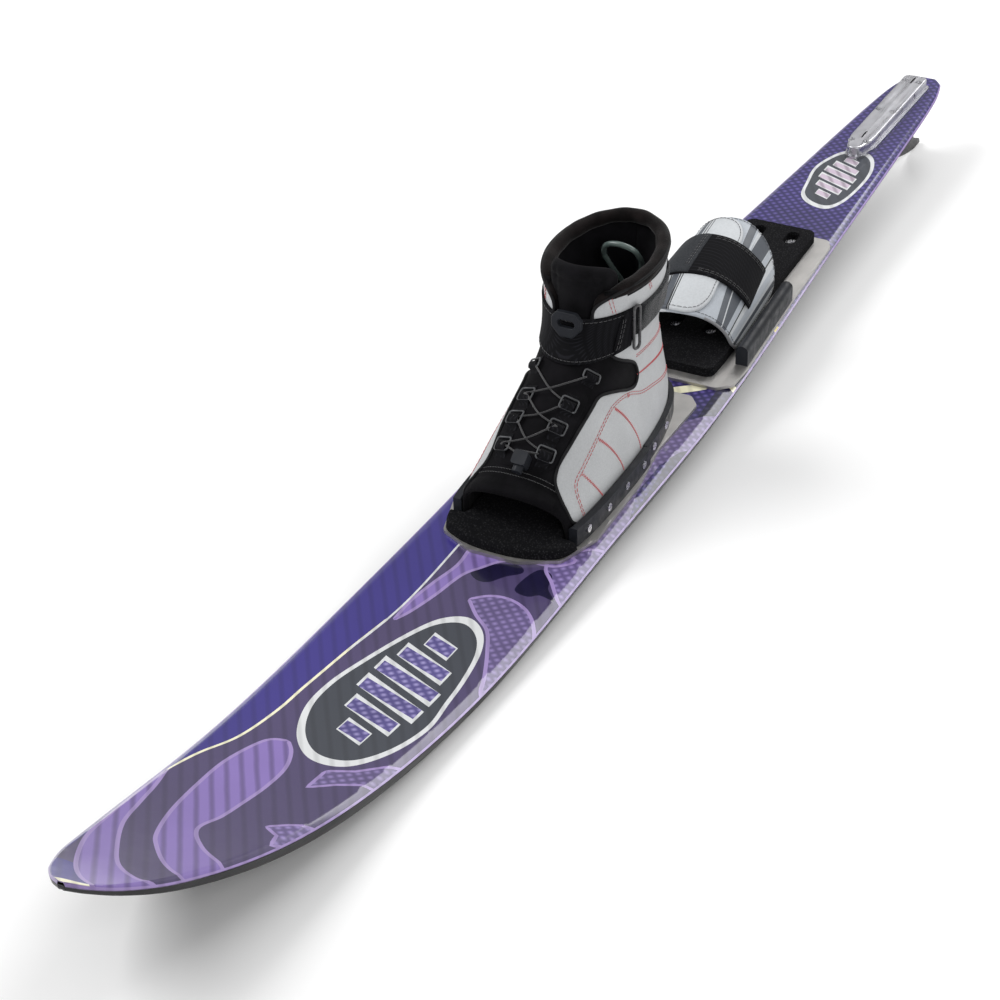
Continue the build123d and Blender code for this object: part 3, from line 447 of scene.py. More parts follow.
# Shapes printed on the deck, bottom first: finish and closed outline of (x, y).
band_edge = [(1700, -20), (1530, -57), (1490, -62), (1459, -65), (1423, -60), (1385, -49), (1334, -45),
             (1294, -45), (1231, -42), (1176, -36), (1128, -34), (1058, -35), (1030, -36)]
emblem = [(1362, -12), (1322, -29), (1281, -32), (1238, -25), (1189, -12), (1158, 2), (1146, 22), (1158, 41),
          (1184, 54), (1225, 62), (1262, 66), (1304, 70), (1350, 61), (1382, 42), (1386, 14)]
sweep_tip = [(1452, -67), (1500, -62), (1543, -54), (1590, -42), (1632, -20), (1656, 0), (1666, 20),
             (1672, 40), (1660, 60), (1628, 44), (1631, 28), (1619, 5), (1590, -17), (1553, -38),
             (1517, -49), (1485, -57)]
sweep_finger = [(1371, -14), (1380, -29), (1420, -37), (1463, -34), (1511, -25), (1551, -11), (1571, 2),
                (1595, 26), (1604, 48), (1592, 66), (1574, 62), (1553, 28), (1528, 7), (1500, 9), (1475, 9),
                (1441, 9), (1409, 6), (1385, -3)]
plate_sweep = [(1176, -31), (1146, -32), (1114, -28), (1081, -22), (1050, -24), (1030, -20), (1030, 60),
               (1048, 54), (1052, 30), (1060, 10), (1076, -2), (1094, -12), (1129, -18), (1160, -25)]
side_lobe = [(1122, 10), (1110, 24), (1108, 42), (1118, 62), (1142, 80), (1180, 92), (1240, 92), (1236, 80),
             (1214, 72), (1182, 58), (1156, 44), (1140, 26)]
shard_front = [(1494, 42), (1482, 54), (1470, 72), (1490, 78), (1508, 66), (1516, 60), (1502, 56)]
shard_side = [(1395, 33), (1424, 34), (1409, 50), (1399, 66), (1392, 86), (1352, 84), (1364, 70), (1384, 52)]
near_lobe = [(1040, 44), (1056, 48), (1070, 60), (1092, 78), (1090, 92), (1010, 92), (1012, 70)]
blotch_front = [(1084, -8), (1069, 3), (1060, 24), (1068, 33), (1080, 22), (1093, 13), (1094, 2)]
blotch_side = [(1094, 38), (1074, 38), (1058, 44), (1062, 57), (1080, 62), (1094, 74), (1092, 60), (1098, 52)]


def scaled(outline, share, middle=None):
    outline = np.asarray(outline, float)
    middle = outline.mean(axis=0) if middle is None else np.asarray(middle)
    return middle + (outline - middle) * share


def slant_bars(middle, length, height, lean, count=6):
    """Slanted bars that grow and shrink in a row: a plain motif of this file's own."""
    marks = []
    for k in range(count):
        tall = height * sin(pi * (k + 0.9) / (count + 0.8))
        offset = (k - (count - 1) / 2) * length / count
        wide = 0.36 * length / count
        corners = [(-wide, -0.5), (wide, -0.5), (wide, 0.5), (-wide, 0.5)]
        marks.append([(middle[0] + offset + a + lean * b * tall, middle[1] + b * tall) for a, b in corners])
    return marks


tail_emblem = [(342, -2), (326, -17), (298, -23), (261, -28), (230, -22), (211, -12), (204, 5), (216, 21),
               (245, 31), (282, 33), (324, 29), (345, 18)]
prints = [
    ("carbon", [(-10, -90), (1040, -90), (1040, 90), (-10, 90)], False),
    ("plum", [(1040, -90), (1700, -90), (1700, 90), (1040, 90)], False),
    ("indigo", [(700, -90), (1700, -90)] + band_edge + [(760, -30), (700, -36)], False),
    ("indigo", [(1660, 60), (1628, 44), (1612, 60), (1590, 92), (1700, 92), (1700, -30), (1640, -30)], True),
    ("lilac", sweep_tip, True), ("lilac", sweep_finger, True),
    ("lilac_weave", side_lobe, True), ("lilac_weave", near_lobe, True), ("lilac", plate_sweep, True),
    ("blotch", blotch_front, True), ("blotch", blotch_side, True),
    ("lilac_weave", shard_front, False), ("lilac_weave", shard_side, False),
    ("carbon_dark", [(700, 62), (820, 68), (930, 76), (1010, 74), (1010, 92), (700, 92)], True),
    # This lilac weave patch along the bevel at y > 0 is partly print and partly painted reflection: it also stands
    # in for a pale glossy streak along the bevel.
    ("lilac_weave", [(1034, 66), (1010, 66), (900, 67), (862, 66), (835, 59), (872, 56), (940, 74),
                     (1010, 92), (1060, 92)], True),
    ("lilac_weave", [(840, 52), (806, 52), (780, 64), (752, 92), (800, 92), (836, 74), (866, 66)], True),
    ("cream", [(751, 14), (741, 20), (728, 36), (722, 50), (728, 52), (738, 42), (748, 28)], True),
    ("cream", [(1680, -10), (1672, -6), (1668, 8), (1664, 30), (1690, 30)], True),
    ("yellow", [(588, 64), (597, 62), (608, 92), (592, 92)], False),
    ("cream", [(709, 71), (716, 69), (730, 92), (714, 92)], False),
]
edged = [(sweep_tip, "lilac_line", 3.2), (sweep_finger, "lilac_line", 3.2), (side_lobe, "lilac_line", 3.2),
         (near_lobe, "lilac_line", 3.2), (plate_sweep, "lilac_line", 3.2)]
shards = [shard_front, shard_side]


def print_regions():
    """Every printed shape as (finish, dense closed outline), bottom first."""
    regions = [(key, smooth_line(shape, 4, True) if soft else straight_line(shape, 6, True))
               for key, shape, soft in prints]
    for shape, key, width in edged:
        line = smooth_line(shape + shape[:1], 4)
        regions.append((key, ribbon(line, width)))
    for shape in shards:
        regions.append(("lilac_line", ribbon(straight_line(shape + shape[:1], 4), 3.0)))
    stripe = smooth_line(band_edge[3:10], 5)
    regions.append(("cream", ribbon(stripe, 2.6)))
    regions.append(("white", ribbon(smooth_line(band_edge[8:], 5), 2.0)))
    for outline, fill, inner, rim in ((emblem, "slate", "chrome", 4.2), (tail_emblem, "slate", "mauve", 3.2)):
        middle = np.mean(outline, axis=0)
        regions.append(("white", smooth_line(outline, 4, True)))
        size = np.ptp(np.asarray(outline, float), axis=0)
        regions.append((fill, smooth_line(scaled(outline, 1 - 2 * rim / size[1], middle), 4, True)))
        for mark in slant_bars(middle, size[0] * 0.7, size[1] * 0.66, 0.45):
            regions.append(("white", straight_line(mark, 3, True)))
            regions.append((inner, straight_line(scaled(mark, (0.72, 0.92)), 3, True)))
    return regions


def make_deck():
    regions = print_regions()
    stagger = [(x, y + (3.5 if k % 2 else 0)) for k, x in enumerate(np.arange(6, LENGTH, 8.0))
               for y in np.arange(-77, 80, 8.0)]
    stagger = np.array(stagger)
    half = np.interp(stagger[:, 0], ski_xs, halves - bevels)
    loose = stagger[np.abs(stagger[:, 1]) < half - 2]
    lines = [(outline, True) for _, outline in regions]
    lines += [(line, False) for line in (bevel_line, bevel_mid, bevel_line * (1, -1), bevel_mid * (1, -1))]
    lines.append((edge_highlight_line, True))
    flat, triangles = triangulated(deck_outline, lines, loose)
    middles = flat[triangles].mean(axis=1)
    keys = ["rim"] + sorted({key for key, _ in regions})
    index = np.zeros(len(triangles), int)
    for key, outline in regions:
        index[inside(middles, outline)] = keys.index(key)
    # Faces between the deck's outline and the inset line take slot 0, the rim slot, with the pale lilac line finish:
    # a painted highlight strip along both edges of the deck.
    index[~inside(middles, edge_highlight_line)] = 0
    outer, normals = on_deck(flat)
    inner = outer - (0, 0, 1.0)
    mats = [finishes["lilac_line"] if key == "rim" else finishes[key] for key in keys]
    deck = closed_shell("deck", outer, inner, triangles, mats, normals, index)
    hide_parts("top_laminate")
    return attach(deck, "ski")


def make_base():
    """The black base and rails as one closed skin with the fin slot in its middle."""
    channel = np.where((ski_xs > 29) & (ski_xs < 204), 4.0, 0.0)
    deck = deck_height(ski_xs)
    drop = np.minimum(RAIL_DROP, 0.4 * thicks)
    under = np.minimum([between(tuck_shares, x / LENGTH) for x in ski_xs], 0.3 * halves)
    hollow = np.minimum(HOLLOW, 0.2 * halves)
    slot = np.minimum(1.2, 0.3 * halves)
    low = deck - thicks
    columns = [(halves - 1.0, deck - drop - 0.4), (halves, deck - drop - 0.1),
               (halves - 0.2, deck - drop - 1.2),
               (halves - 0.35 * under, deck - 0.5 * drop - 0.5 * thicks), (halves - 0.8 * under, low + 1.6),
               (halves - under, low + 0.5), (halves - under - 1.6, low), (0.5 * halves, low + 0.75 * hollow),
               (slot + 2, low + hollow), (slot, low + hollow), (slot, low + hollow + channel)]
    right = [np.stack([ski_xs, y * np.ones(len(ski_xs)), z], 1) for y, z in columns]
    left = [column * (1, -1, 1) for column in right[::-1]]
    ring = np.stack(right + left, 1)
    rows, count = ring.shape[:2]
    points = ring.reshape(-1, 3)
    faces = [f[::-1] for f in grid_faces(rows, count, True)]
    faces += [list(range(count)), list(range((rows - 1) * count, rows * count))[::-1]]
    base = add_mesh("base", points, faces, finishes["base"])
    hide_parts("base_laminate")
    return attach(base, "ski")


make_deck()
make_base()

# ---------------------------------------------------------------- CAD pieces that are shown as they are
cad_finishes = {
    "ski_core": "core", "binding_inserts": "brass", "fin_inserts": "brass", "fin_block_left": "fin_alloy",
    "fin_block_right": "fin_alloy", "fin_block_screws": "steel", "fin_clamp_screws": "steel",
    "fin_clamp_nuts": "steel", "fin_blade": "fin_black", "front_plate": "alloy", "front_footbed": "eva",
    "front_plate_screws": "steel", "side_rail_left": "nylon", "side_rail_right": "nylon",
    "heel_frame": "nylon", "rail_screws": "steel", "heel_frame_screws": "steel", "boot_mount_screws": "steel",
    "rear_plate": "alloy", "rear_footbed": "eva", "rear_plate_screws": "steel", "side_bar_left": "nylon",
    "side_bar_right": "nylon", "side_bar_screws": "steel", "cord_lock_body": "nylon",
    "cord_lock_button": "nylon", "cord_lock_spring": "steel", "lace_pull": "nylon",
}
for node, key in cad_finishes.items():
    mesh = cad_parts[node].data
    mesh.materials.clear()
    mesh.materials.append(finishes[key])

# ---------------------------------------------------------------- more finishes
neoprene = keep("neoprene", Finish("neoprene", (0.005, 0.005, 0.006), 0.85, Sheen_Weight=0.02,
                                   Sheen_Roughness=0.5, Specular_IOR_Level=0.05))
neoprene.colored(neoprene.noise(60, 4), (0.0035, 0.0035, 0.004), (0.008, 0.0075, 0.009))
neoprene.bumped(neoprene.cells(1500), 0.00012, 0.8)

lining = keep("lining", Finish("plush_lining", (0.006, 0.005, 0.005), 0.92, Sheen_Weight=0.12,
                               Sheen_Roughness=0.4, Specular_IOR_Level=0.1))
lining.colored(lining.noise(90, 5), (0.003, 0.0026, 0.0026), (0.011, 0.008, 0.008))
lining.bumped(lining.noise(900, 5), 0.0005)

leather = keep("panel", Finish("coated_panel", (0.44, 0.45, 0.46), 0.5, Specular_IOR_Level=0.35))
leather.tinted(leather.noise(700, 3), (0.42, 0.43, 0.44), (0.48, 0.49, 0.5), leather.noise(18, 4), 0.08)
leather.roughened(leather.noise(60, 4), 0.38, 0.6)
leather.bumped(leather.cells(1100), 0.00016, 0.7)

piping = keep("piping", Finish("bound_edge", (0.006, 0.006, 0.007), 0.65, Specular_IOR_Level=0.2))
piping.bumped(piping.noise(1600, 3), 0.00015)
piping.colored(piping.noise(200, 3), (0.004, 0.004, 0.005), (0.01, 0.01, 0.011))

thread = keep("thread", Finish("red_thread", (0.5, 0.022, 0.03), 0.55, Sheen_Weight=0.3))
thread.colored(thread.noise(900, 3), (0.4, 0.015, 0.022), (0.62, 0.04, 0.045))
thread.bumped(thread.noise(4000, 2), 0.0001)

dark_thread = keep("dark_thread", Finish("black_thread", (0.03, 0.03, 0.032), 0.6, Sheen_Weight=0.3))
dark_thread.colored(dark_thread.noise(900, 3), (0.022, 0.022, 0.024), (0.045, 0.045, 0.048))
dark_thread.bumped(dark_thread.noise(4000, 2), 0.0001)

webbing = keep("web", Finish("strap_webbing", (0.006, 0.006, 0.007), 0.75, Sheen_Weight=0.03,
                             Sheen_Roughness=0.4, Specular_IOR_Level=0.08))
weave_x = webbing.bands(260, (0, radians(40), 0), "X")
weave_z = webbing.bands(200, (0, radians(-40), radians(20)), "Z")
webbing.colored(webbing.math("MULTIPLY", weave_x, weave_z), (0.004, 0.004, 0.005), (0.012, 0.012, 0.015))
webbing.bumped(webbing.math("MULTIPLY", weave_x, weave_z), 0.00009)

hook_pile = keep("pile", Finish("hook_and_loop", (0.022, 0.023, 0.025), 0.95, Sheen_Weight=0.3,
                                Sheen_Roughness=0.35, Specular_IOR_Level=0.1))
hook_pile.colored(hook_pile.noise(500, 5), (0.009, 0.01, 0.011), (0.042, 0.044, 0.048))
hook_pile.bumped(hook_pile.noise(1400, 6), 0.0012)

ring_steel = keep("ring", Finish("ring_metal", (0.06, 0.06, 0.062), 0.36, Metallic=0.5))
ring_steel.roughened(ring_steel.noise(600, 3), 0.22, 0.45)
ring_steel.colored(ring_steel.noise(300, 3), (0.045, 0.045, 0.047), (0.085, 0.085, 0.088))

loop_grey = keep("loop", Finish("loop_nylon", (0.06, 0.063, 0.068), 0.4))
loop_grey.colored(loop_grey.noise(150, 3), (0.045, 0.047, 0.05), (0.09, 0.093, 0.1))
loop_grey.roughened(loop_grey.noise(500, 3), 0.3, 0.5)

cord_black = keep("cord", Finish("lace_cord", (0.016, 0.016, 0.018), 0.6, Sheen_Weight=0.3))
braid = cord_black.bands(900, (0, 0, radians(45)), "X")
cord_black.colored(braid, (0.01, 0.01, 0.011), (0.032, 0.032, 0.036))
cord_black.bumped(braid, 0.0002)

vinyl = keep("vinyl", Finish("clear_tube", (0.16, 0.22, 0.21), 0.16, Transmission_Weight=0.45, IOR=1.45))
vinyl.colored(vinyl.noise(120, 2), (0.13, 0.18, 0.17), (0.24, 0.3, 0.28))
vinyl.roughened(vinyl.noise(300, 3), 0.08, 0.2)

# ---------------------------------------------------------------- boot form
BOOT_WALL, PLATE_TOP, BOOT_TOE, TOE_BULGE = 4.5, 3.1, 1017.0, 17.0
ANGLE_SCALE = 62.0
boot_slices = [
    (0, 757, 1076, 54, 958, 2.6), (14, 753, 1071, 54, 958, 2.6), (28, 752, 1060, 53.5, 955, 2.6),
    (42, 752, 1040, 51, 945, 2.5), (62, 754, 1013, 46, 925, 2.4), (80, 758, 988, 42, 898, 2.4),
    (95, 763, 958, 40, 875, 2.3), (110, 767, 932, 40.5, 855, 2.2), (128, 769, 914, 43, 842, 2.1),
    (155, 769, 906, 47, 838, 2), (185, 766, 908, 50, 838, 2), (220, 761, 914, 53, 838, 2)]
boot_levels = np.arange(0, 220.0)
boot_table = np.array([[between([(row[0], row[c]) for row in boot_slices], level) for c in range(1, 6)]
                       for level in boot_levels])


def boot_columns(level):
    return [np.interp(level, boot_levels, boot_table[:, c]) for c in range(5)]


def on_boot(flat, grow):
    """Points on the boot from (angle x ANGLE_SCALE, level), pushed out by grow."""
    angle, level = flat[:, 0] / ANGLE_SCALE, flat[:, 1]
    heel, toe, half, widest, square = boot_columns(level)
    c, s = np.cos(angle), np.sin(angle)
    radius = (np.abs(c)**square + np.abs(s)**square) ** (-1 / square)
    reach = np.where(c > 0, toe - widest, widest - heel) + grow
    return np.stack([widest + c * radius * reach, s * radius * (half + grow), level], 1)


def boot_side(points, side):
    """Flat boot places of (x, level) points seen from the side; side is 1 for y > 0 and -1 for y < 0."""
    x, level = np.asarray(points, float).T
    heel, toe, _, widest, square = boot_columns(level)
    along = np.clip((x - widest) / np.where(x > widest, toe - widest, widest - heel), -1, 1)
    across = (1 - np.abs(along)**square) ** (1 / square)
    return np.stack([side * np.arctan2(across, along) * ANGLE_SCALE, level], 1)


def boot_front(points):
    """Flat boot places of (y, level) points on the instep."""
    y, level = np.asarray(points, float).T
    _, _, half, _, square = boot_columns(level)
    across = np.clip(y / half, -1, 1)
    along = (1 - np.abs(across)**square) ** (1 / square)
    return np.stack([np.arctan2(across, along) * ANGLE_SCALE, level], 1)


def collar_level(x):
    return 190 - 14 * (x - 765) / 147


def grid_points(outline, step):
    low, high = outline.min(axis=0), outline.max(axis=0)
    rows = np.arange(low[1], high[1] + step, step * 0.87)
    points = [(x + (step / 2 if k % 2 else 0), y) for k, y in enumerate(rows)
              for x in np.arange(low[0], high[0] + step, step)]
    points = np.array(points)
    return points[inside(points, outline)]


def draped(name, outline, surface, base, thick, mats, step=5.0, rounding=1.5, crown=0.0, crown_run=14.0,
           sink=0.3, extra=None, regions=(), back_mat=None):
    """A closed skin laid on a surface: thick mm deep, rounded at its outline, crowned in its middle.

    regions are (material index, outline) pairs, and extra(flat, depth) adds to the height.
    """
    outline = np.asarray(outline, float)
    loose = grid_points(outline, step)
    far = distance_to(loose, outline) > 0.9 * rounding + 0.15 * step
    loops = []
    for share in (0.25, 1.0):
        run = np.roll(outline, -1, axis=0) - np.roll(outline, 1, axis=0)
        size = np.maximum(np.linalg.norm(run, axis=1), 1e-9)[:, None]
        normal = np.stack([run[:, 1], -run[:, 0]], 1) / size
        for sign in (1, -1):
            moved = outline + sign * normal * rounding * share
            good = inside(moved, outline) & (distance_to(moved, outline) > 0.85 * rounding * share)
            loops.append(moved[good])
    loose = np.concatenate([loose[far]] + loops)
    flat, triangles = triangulated(outline, [(shape, True) for _, shape in regions], loose)
    face_mats = np.zeros(len(triangles), int)
    for index, shape in regions:
        face_mats[inside(flat[triangles].mean(axis=1), shape)] = index
    depth = distance_to(flat, outline)
    t = np.clip(depth / rounding, 0, 1)
    lift = base + thick * np.sqrt(1 - (1 - t)**2)
    if crown:
        c = np.clip(depth / crown_run, 0, 1)
        lift = lift + crown * np.sqrt(1 - (1 - c)**2)
    if extra is not None:
        lift = lift + extra(flat, depth)
    return closed_shell(name, surface(flat, lift), surface(flat, np.full(len(flat), base - sink)),
                        triangles, mats, face_mats=face_mats, back_mat=back_mat)


def tube_points(line, radius, sides, closed=False, flat=1.0):
    """Rings of points round a line in mm; flat squashes the tube along its second side."""
    line = np.asarray(line, float)
    if closed:
        run = np.roll(line, -1, axis=0) - np.roll(line, 1, axis=0)
    else:
        run = np.gradient(line, axis=0)
    run /= np.maximum(np.linalg.norm(run, axis=1), 1e-9)[:, None]
    across = np.cross(run[0], (0, 0, 1.0) if abs(run[0][2]) < 0.9 else (1.0, 0, 0))
    across /= np.linalg.norm(across)
    rings = []
    radius = np.broadcast_to(radius, len(line))
    for point, ahead, size in zip(line, run, radius):
        across = across - ahead * (across @ ahead)
        across /= np.linalg.norm(across)
        other = np.cross(ahead, across)
        angles = 2 * pi * np.arange(sides) / sides
        ring = np.cos(angles)[:, None] * across + flat * np.sin(angles)[:, None] * other
        rings.append(point + size * ring)
    return np.array(rings)


def tube(name, line, radius, mats, sides=8, closed=False, flat=1.0):
    rings = tube_points(line, radius, sides, closed, flat)
    rows = len(rings)
    faces = grid_faces(rows, sides, True)
    if closed:
        last = rows - 1
        faces += [[last * sides + c, last * sides + (c + 1) % sides, (c + 1) % sides, c]
                  for c in range(sides)]
    else:
        faces += [list(range(sides))[::-1], [(rows - 1) * sides + c for c in range(sides)]]
    return add_mesh(name, rings.reshape(-1, 3), faces, mats)


def many_tubes(name, lines, radius, mats, sides=6):
    """Separate short tubes, such as stitches, as one mesh."""
    points, faces = [], []
    for line in lines:
        rings = tube_points(line, radius, sides)
        start = len(points)
        points.extend(rings.reshape(-1, 3).tolist())
        rows = len(rings)
        faces += [[start + k for k in f] for f in grid_faces(rows, sides, True)]
        faces += [[start + c for c in range(sides)][::-1],
                  [start + (rows - 1) * sides + c for c in range(sides)]]
    return add_mesh(name, points, faces, mats)


def arc_walk(line, step):
    """The line resampled at equal steps."""
    line = np.asarray(line, float)
    runs = np.concatenate([[0], np.cumsum(np.linalg.norm(np.diff(line, axis=0), axis=1))])
    at = np.arange(0, runs[-1], step)
    return np.stack([np.interp(at, runs, line[:, k]) for k in range(line.shape[1])], 1)


def stitches(line, surface, lift, length=3.2, gap=1.3):
    """Short thread arcs along a flat line laid on a surface."""
    walked = arc_walk(line, (length + gap) / 4)
    result = []
    for start in range(0, len(walked) - 4, 4):
        part = walked[start:start + 4]
        rise = lift + np.array([-0.15, 0.25, 0.25, -0.15])
        result.append(surface(part, rise))
    return result


def zigzag(line, surface, lift, width, pitch):
    """A wide zigzag of thread along a flat line; width is given at its start and end."""
    walked = arc_walk(line, pitch / 2)
    run = np.gradient(walked, axis=0)
    side = np.stack([-run[:, 1], run[:, 0]], 1) / np.linalg.norm(run, axis=1)[:, None]
    widths = np.linspace(width[0], width[1], len(walked))
    sign = np.where(np.arange(len(walked)) % 2, 1, -1)
    corners = walked + side * (sign * widths / 2)[:, None]
    dense = straight_line(corners, 1.2)
    return surface(dense, np.full(len(dense), lift))


def flexes(piece):
    """Fabric of the boot that crosses the ankle; only its transform is baked into its mesh."""
    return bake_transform(piece)


# ---------------------------------------------------------------- boot
PAD_REAR = 1021.5


def toe_opening(side, back=0.0, count=16):
    """The toe opening's edge on one side, from the plate up to the middle of the instep."""
    _, toe, _, _, _ = boot_columns(boot_levels)
    reach = BOOT_TOE + TOE_BULGE - back
    top = float(np.interp(-reach, -toe[40:80], boot_levels[40:80]))
    rise = np.sin(np.linspace(0, pi / 2, count))
    return boot_side([(BOOT_TOE - back + TOE_BULGE * r**2, PLATE_TOP + (top - PLATE_TOP) * r) for r in rise],
                     side)


def make_bootie():
    """The black neoprene boot body: open at the toe, and slit in front over the tongue."""
    turn = pi * ANGLE_SCALE
    opening = toe_opening(1)[::-1]
    gap = boot_front([(14, 126), (22, 150), (27, 178)])
    angles = np.linspace(pi, gap[-1][0] / ANGLE_SCALE, 26)
    rim = []
    for angle in angles:
        place = on_boot(np.array([[angle * ANGLE_SCALE, 185.0]]), 0)[0]
        rim.append((angle * ANGLE_SCALE, collar_level(place[0])))
    rim = np.array(rim)
    heel = straight_line([(turn, PLATE_TOP), (turn, rim[0][1])], 6)[:-1]
    slit = smooth_line(gap[::-1], 5)
    slit_floor = straight_line([slit[-1], slit[-1] * (-1, 1)], 4)[1:-1]
    left = np.concatenate([opening, straight_line([opening[-1], (turn, PLATE_TOP)], 6)[1:-1], heel,
                           rim[:-1], slit])
    right = (left * (-1, 1))[::-1]
    outline = np.concatenate([left, slit_floor, right[:-1]])
    loose = grid_points(outline, 5.5)
    flat, triangles = triangulated(outline, [], loose[distance_to(loose, outline) > 2.0])
    outer, inner = on_boot(flat, 0.0), on_boot(flat, -BOOT_WALL)
    piece = closed_shell("boot_body", outer, inner, triangles,
                         [finishes["neoprene"]])
    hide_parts("boot_lower", "boot_cuff")
    return flexes(piece)


panel_edge = [(1004, 16), (1012, 24), (1013, 38), (1008, 52), (1000, 60), (989, 67), (964, 79), (938, 89),
              (924, 94), (912, 92), (898, 87), (882, 80), (868, 77), (860, 84), (863, 95), (874, 104),
              (888, 112), (896, 120), (900, 135), (901, 152), (899, 166), (890, 174), (876, 178), (857, 181),
              (835, 183), (800, 186), (772, 188)]


def panel_outline(side):
    front = boot_side(smooth_line(panel_edge, 2.5), side)
    heel_line = [(side * (pi * ANGLE_SCALE - 5), level) for level in (186, 150, 110, 70, 30, 16)]
    return np.concatenate([front, smooth_line(heel_line, 6), boot_side([(x, 16) for x in range(780, 1000, 8)],
                                                                       side)])


stitch_frame = [(772, 42), (800, 48), (830, 57), (858, 65), (882, 76), (905, 80), (921, 78), (949, 67),
                (977, 55), (991, 48), (996, 38), (996, 27), (993, 18)]
double_lines = [stitch_frame, [(862, 103), (830, 98), (800, 92), (776, 88)], [(892, 173), (886, 150)],
                [(856, 180), (846, 160)], [(884, 77), (885, 70)]]
zigzags = [([(862, 84), (830, 78), (800, 71), (772, 64)], (1.8, 2.6)),
           ([(911, 77), (892, 54), (878, 20)], (2.9, 1.5)),
           ([(946, 66), (929, 45), (916, 20)], (3.0, 1.6)),
           ([(981, 52), (972, 37), (959, 19)], (3.0, 1.6))]


def arc_points(line, count=40):
    """Points along the arc that passes nearest to the given (x, level) points."""
    given = np.asarray(line, float)
    runs = np.concatenate([[0], np.cumsum(np.linalg.norm(np.diff(given, axis=0), axis=1))])
    at = np.linspace(0, runs[-1], count)
    return np.stack([np.polyval(np.polyfit(runs, given[:, k], 2), at) for k in range(2)], 1)


def beside(side):
    """The boot as a surface over (x, level) places on one side."""
    return lambda flat, lift: on_boot(boot_side(flat, side), lift)


def make_panels():
    for side, word in ((1, "left"), (-1, "right")):
        outline = panel_outline(side)
        piece = draped("panel_" + word, outline, on_boot, 0.05, 1.15, finishes["panel"],
                       step=5, rounding=1.2)
        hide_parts("foot_panel_" + word, "cuff_panel_" + word)
        flexes(piece)
        edge = on_boot(outline, np.full(len(outline), 0.9))
        flexes(tube("panel_piping_" + word, edge, 1.5, finishes["piping"], 7, closed=True))
        runs = []
        surface = beside(side)
        for line in double_lines:
            flat = smooth_line(line, 2)
            run = np.gradient(flat, axis=0)
            normal = np.stack([-run[:, 1], run[:, 0]], 1) / np.linalg.norm(run, axis=1)[:, None]
            for shift in (-1.1, 1.1):
                runs += stitches(flat + normal * shift, surface, 1.35)
        flexes(many_tubes("panel_stitches_" + word, runs, 0.26, finishes["thread"]))
        bands = [zigzag(arc_points(line), surface, 1.3, width, 2.3) for line, width in zigzags]
        flexes(many_tubes("panel_zigzags_" + word, bands, 0.27, finishes["thread"], 5))


def make_collar():
    """The padded rim of the cuff: up one side of the tongue, round the heel and down the other side."""
    start = boot_front([(26, 172)])[0][0]
    whole = 2 * pi * ANGLE_SCALE
    rim = []
    for angle in np.linspace(start + 8, whole - start - 8, 80):
        place = on_boot(np.array([[angle, 185.0]]), -1.8)[0]
        near = min(angle, whole - angle) - start
        rim.append((angle, collar_level(place[0]) - 3.0 - 5 * max(0.0, 1 - near / 30)**2))
    down = boot_front([(25, 172), (21.5, 162), (18.5, 150), (16, 138), (14, 128)])
    path = np.concatenate([down[::-1], rim, (down * (-1, 1)) + (whole, 0)])
    path = smooth_line(path, 4.0)
    share = np.linspace(0, 1, len(path))
    swell = 6.4 + 0.25 * np.sin(path[:, 0] / 4.1) + 0.2 * np.sin(path[:, 0] / 9.7)
    radius = swell * (0.42 + 0.58 * np.clip(np.minimum(share, 1 - share) / 0.2, 0, 1)**1.4)
    line = on_boot(path, -2.6 - 0.2 * radius)
    piece = tube("collar_pad", line, radius, finishes["lining"], 20)
    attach(piece, "cuff")
    seam = on_boot(np.array([(a, level - 5.0) for a, level in rim[4:-4]]), 0.5)
    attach(tube("collar_binding", seam, 1.4, finishes["piping"], 8), "cuff")


def on_tongue(flat, lift):
    """Points on the tongue from (y, level): the boot's own front, set back behind the cuff's wall."""
    y, level = flat[:, 0], np.minimum(flat[:, 1], 219)
    _, toe, half, widest, square = boot_columns(level)
    grow = np.asarray(lift, float) - BOOT_WALL - 0.1
    share = (1 - np.clip(np.abs(y) / (half + grow), 0, 0.999)**square) ** (1 / square)
    return np.stack([widest + (toe - widest + grow) * share, y, flat[:, 1]], 1)


def make_tongue():
    corners = [(-20, 118), (20, 118), (25, 150), (29, 180), (27, 193), (18, 199), (0, 201), (-18, 199),
               (-27, 193), (-29, 180), (-25, 150)]
    outline = smooth_line(corners, 3, True)

    def dents(flat, depth):
        groove = np.exp(-((np.abs(flat[:, 0]) - 17) / 1.6)**2) + np.exp(-((flat[:, 1] - 188) / 1.6)**2)
        return -1.6 * groove * np.clip(depth / 4, 0, 1)

    piece = draped("tongue_pad", outline, on_tongue, -6.8, 6.6, finishes["neoprene"], step=3.0,
                   rounding=5.0, crown=2.2, crown_run=16, sink=1.0, extra=dents)
    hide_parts("tongue")
    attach(piece, "cuff")


def strap_line(x, low):
    """Level of the ankle strap's lower or upper edge at a place along the ski."""
    return (131 if low else 166) + ((-15.5 if low else -14) / 200) * (x - 740)


def strap_band(start, end, low_shift=0.0, high_shift=0.0, steps=60):
    """Outline of a stretch of the ankle strap between two angles."""
    low, high = [], []
    for angle in np.linspace(start, end, steps):
        place = on_boot(np.array([[angle, 140.0]]), 1.3)[0]
        low.append((angle, strap_line(place[0], True) + low_shift))
        high.append((angle, strap_line(place[0], False) + high_shift))
    return np.array(low + high[::-1])


def ripples(flat, depth):
    return 0.35 * np.sin(flat[:, 0] / 3.1) * np.clip(depth / 4, 0, 1)


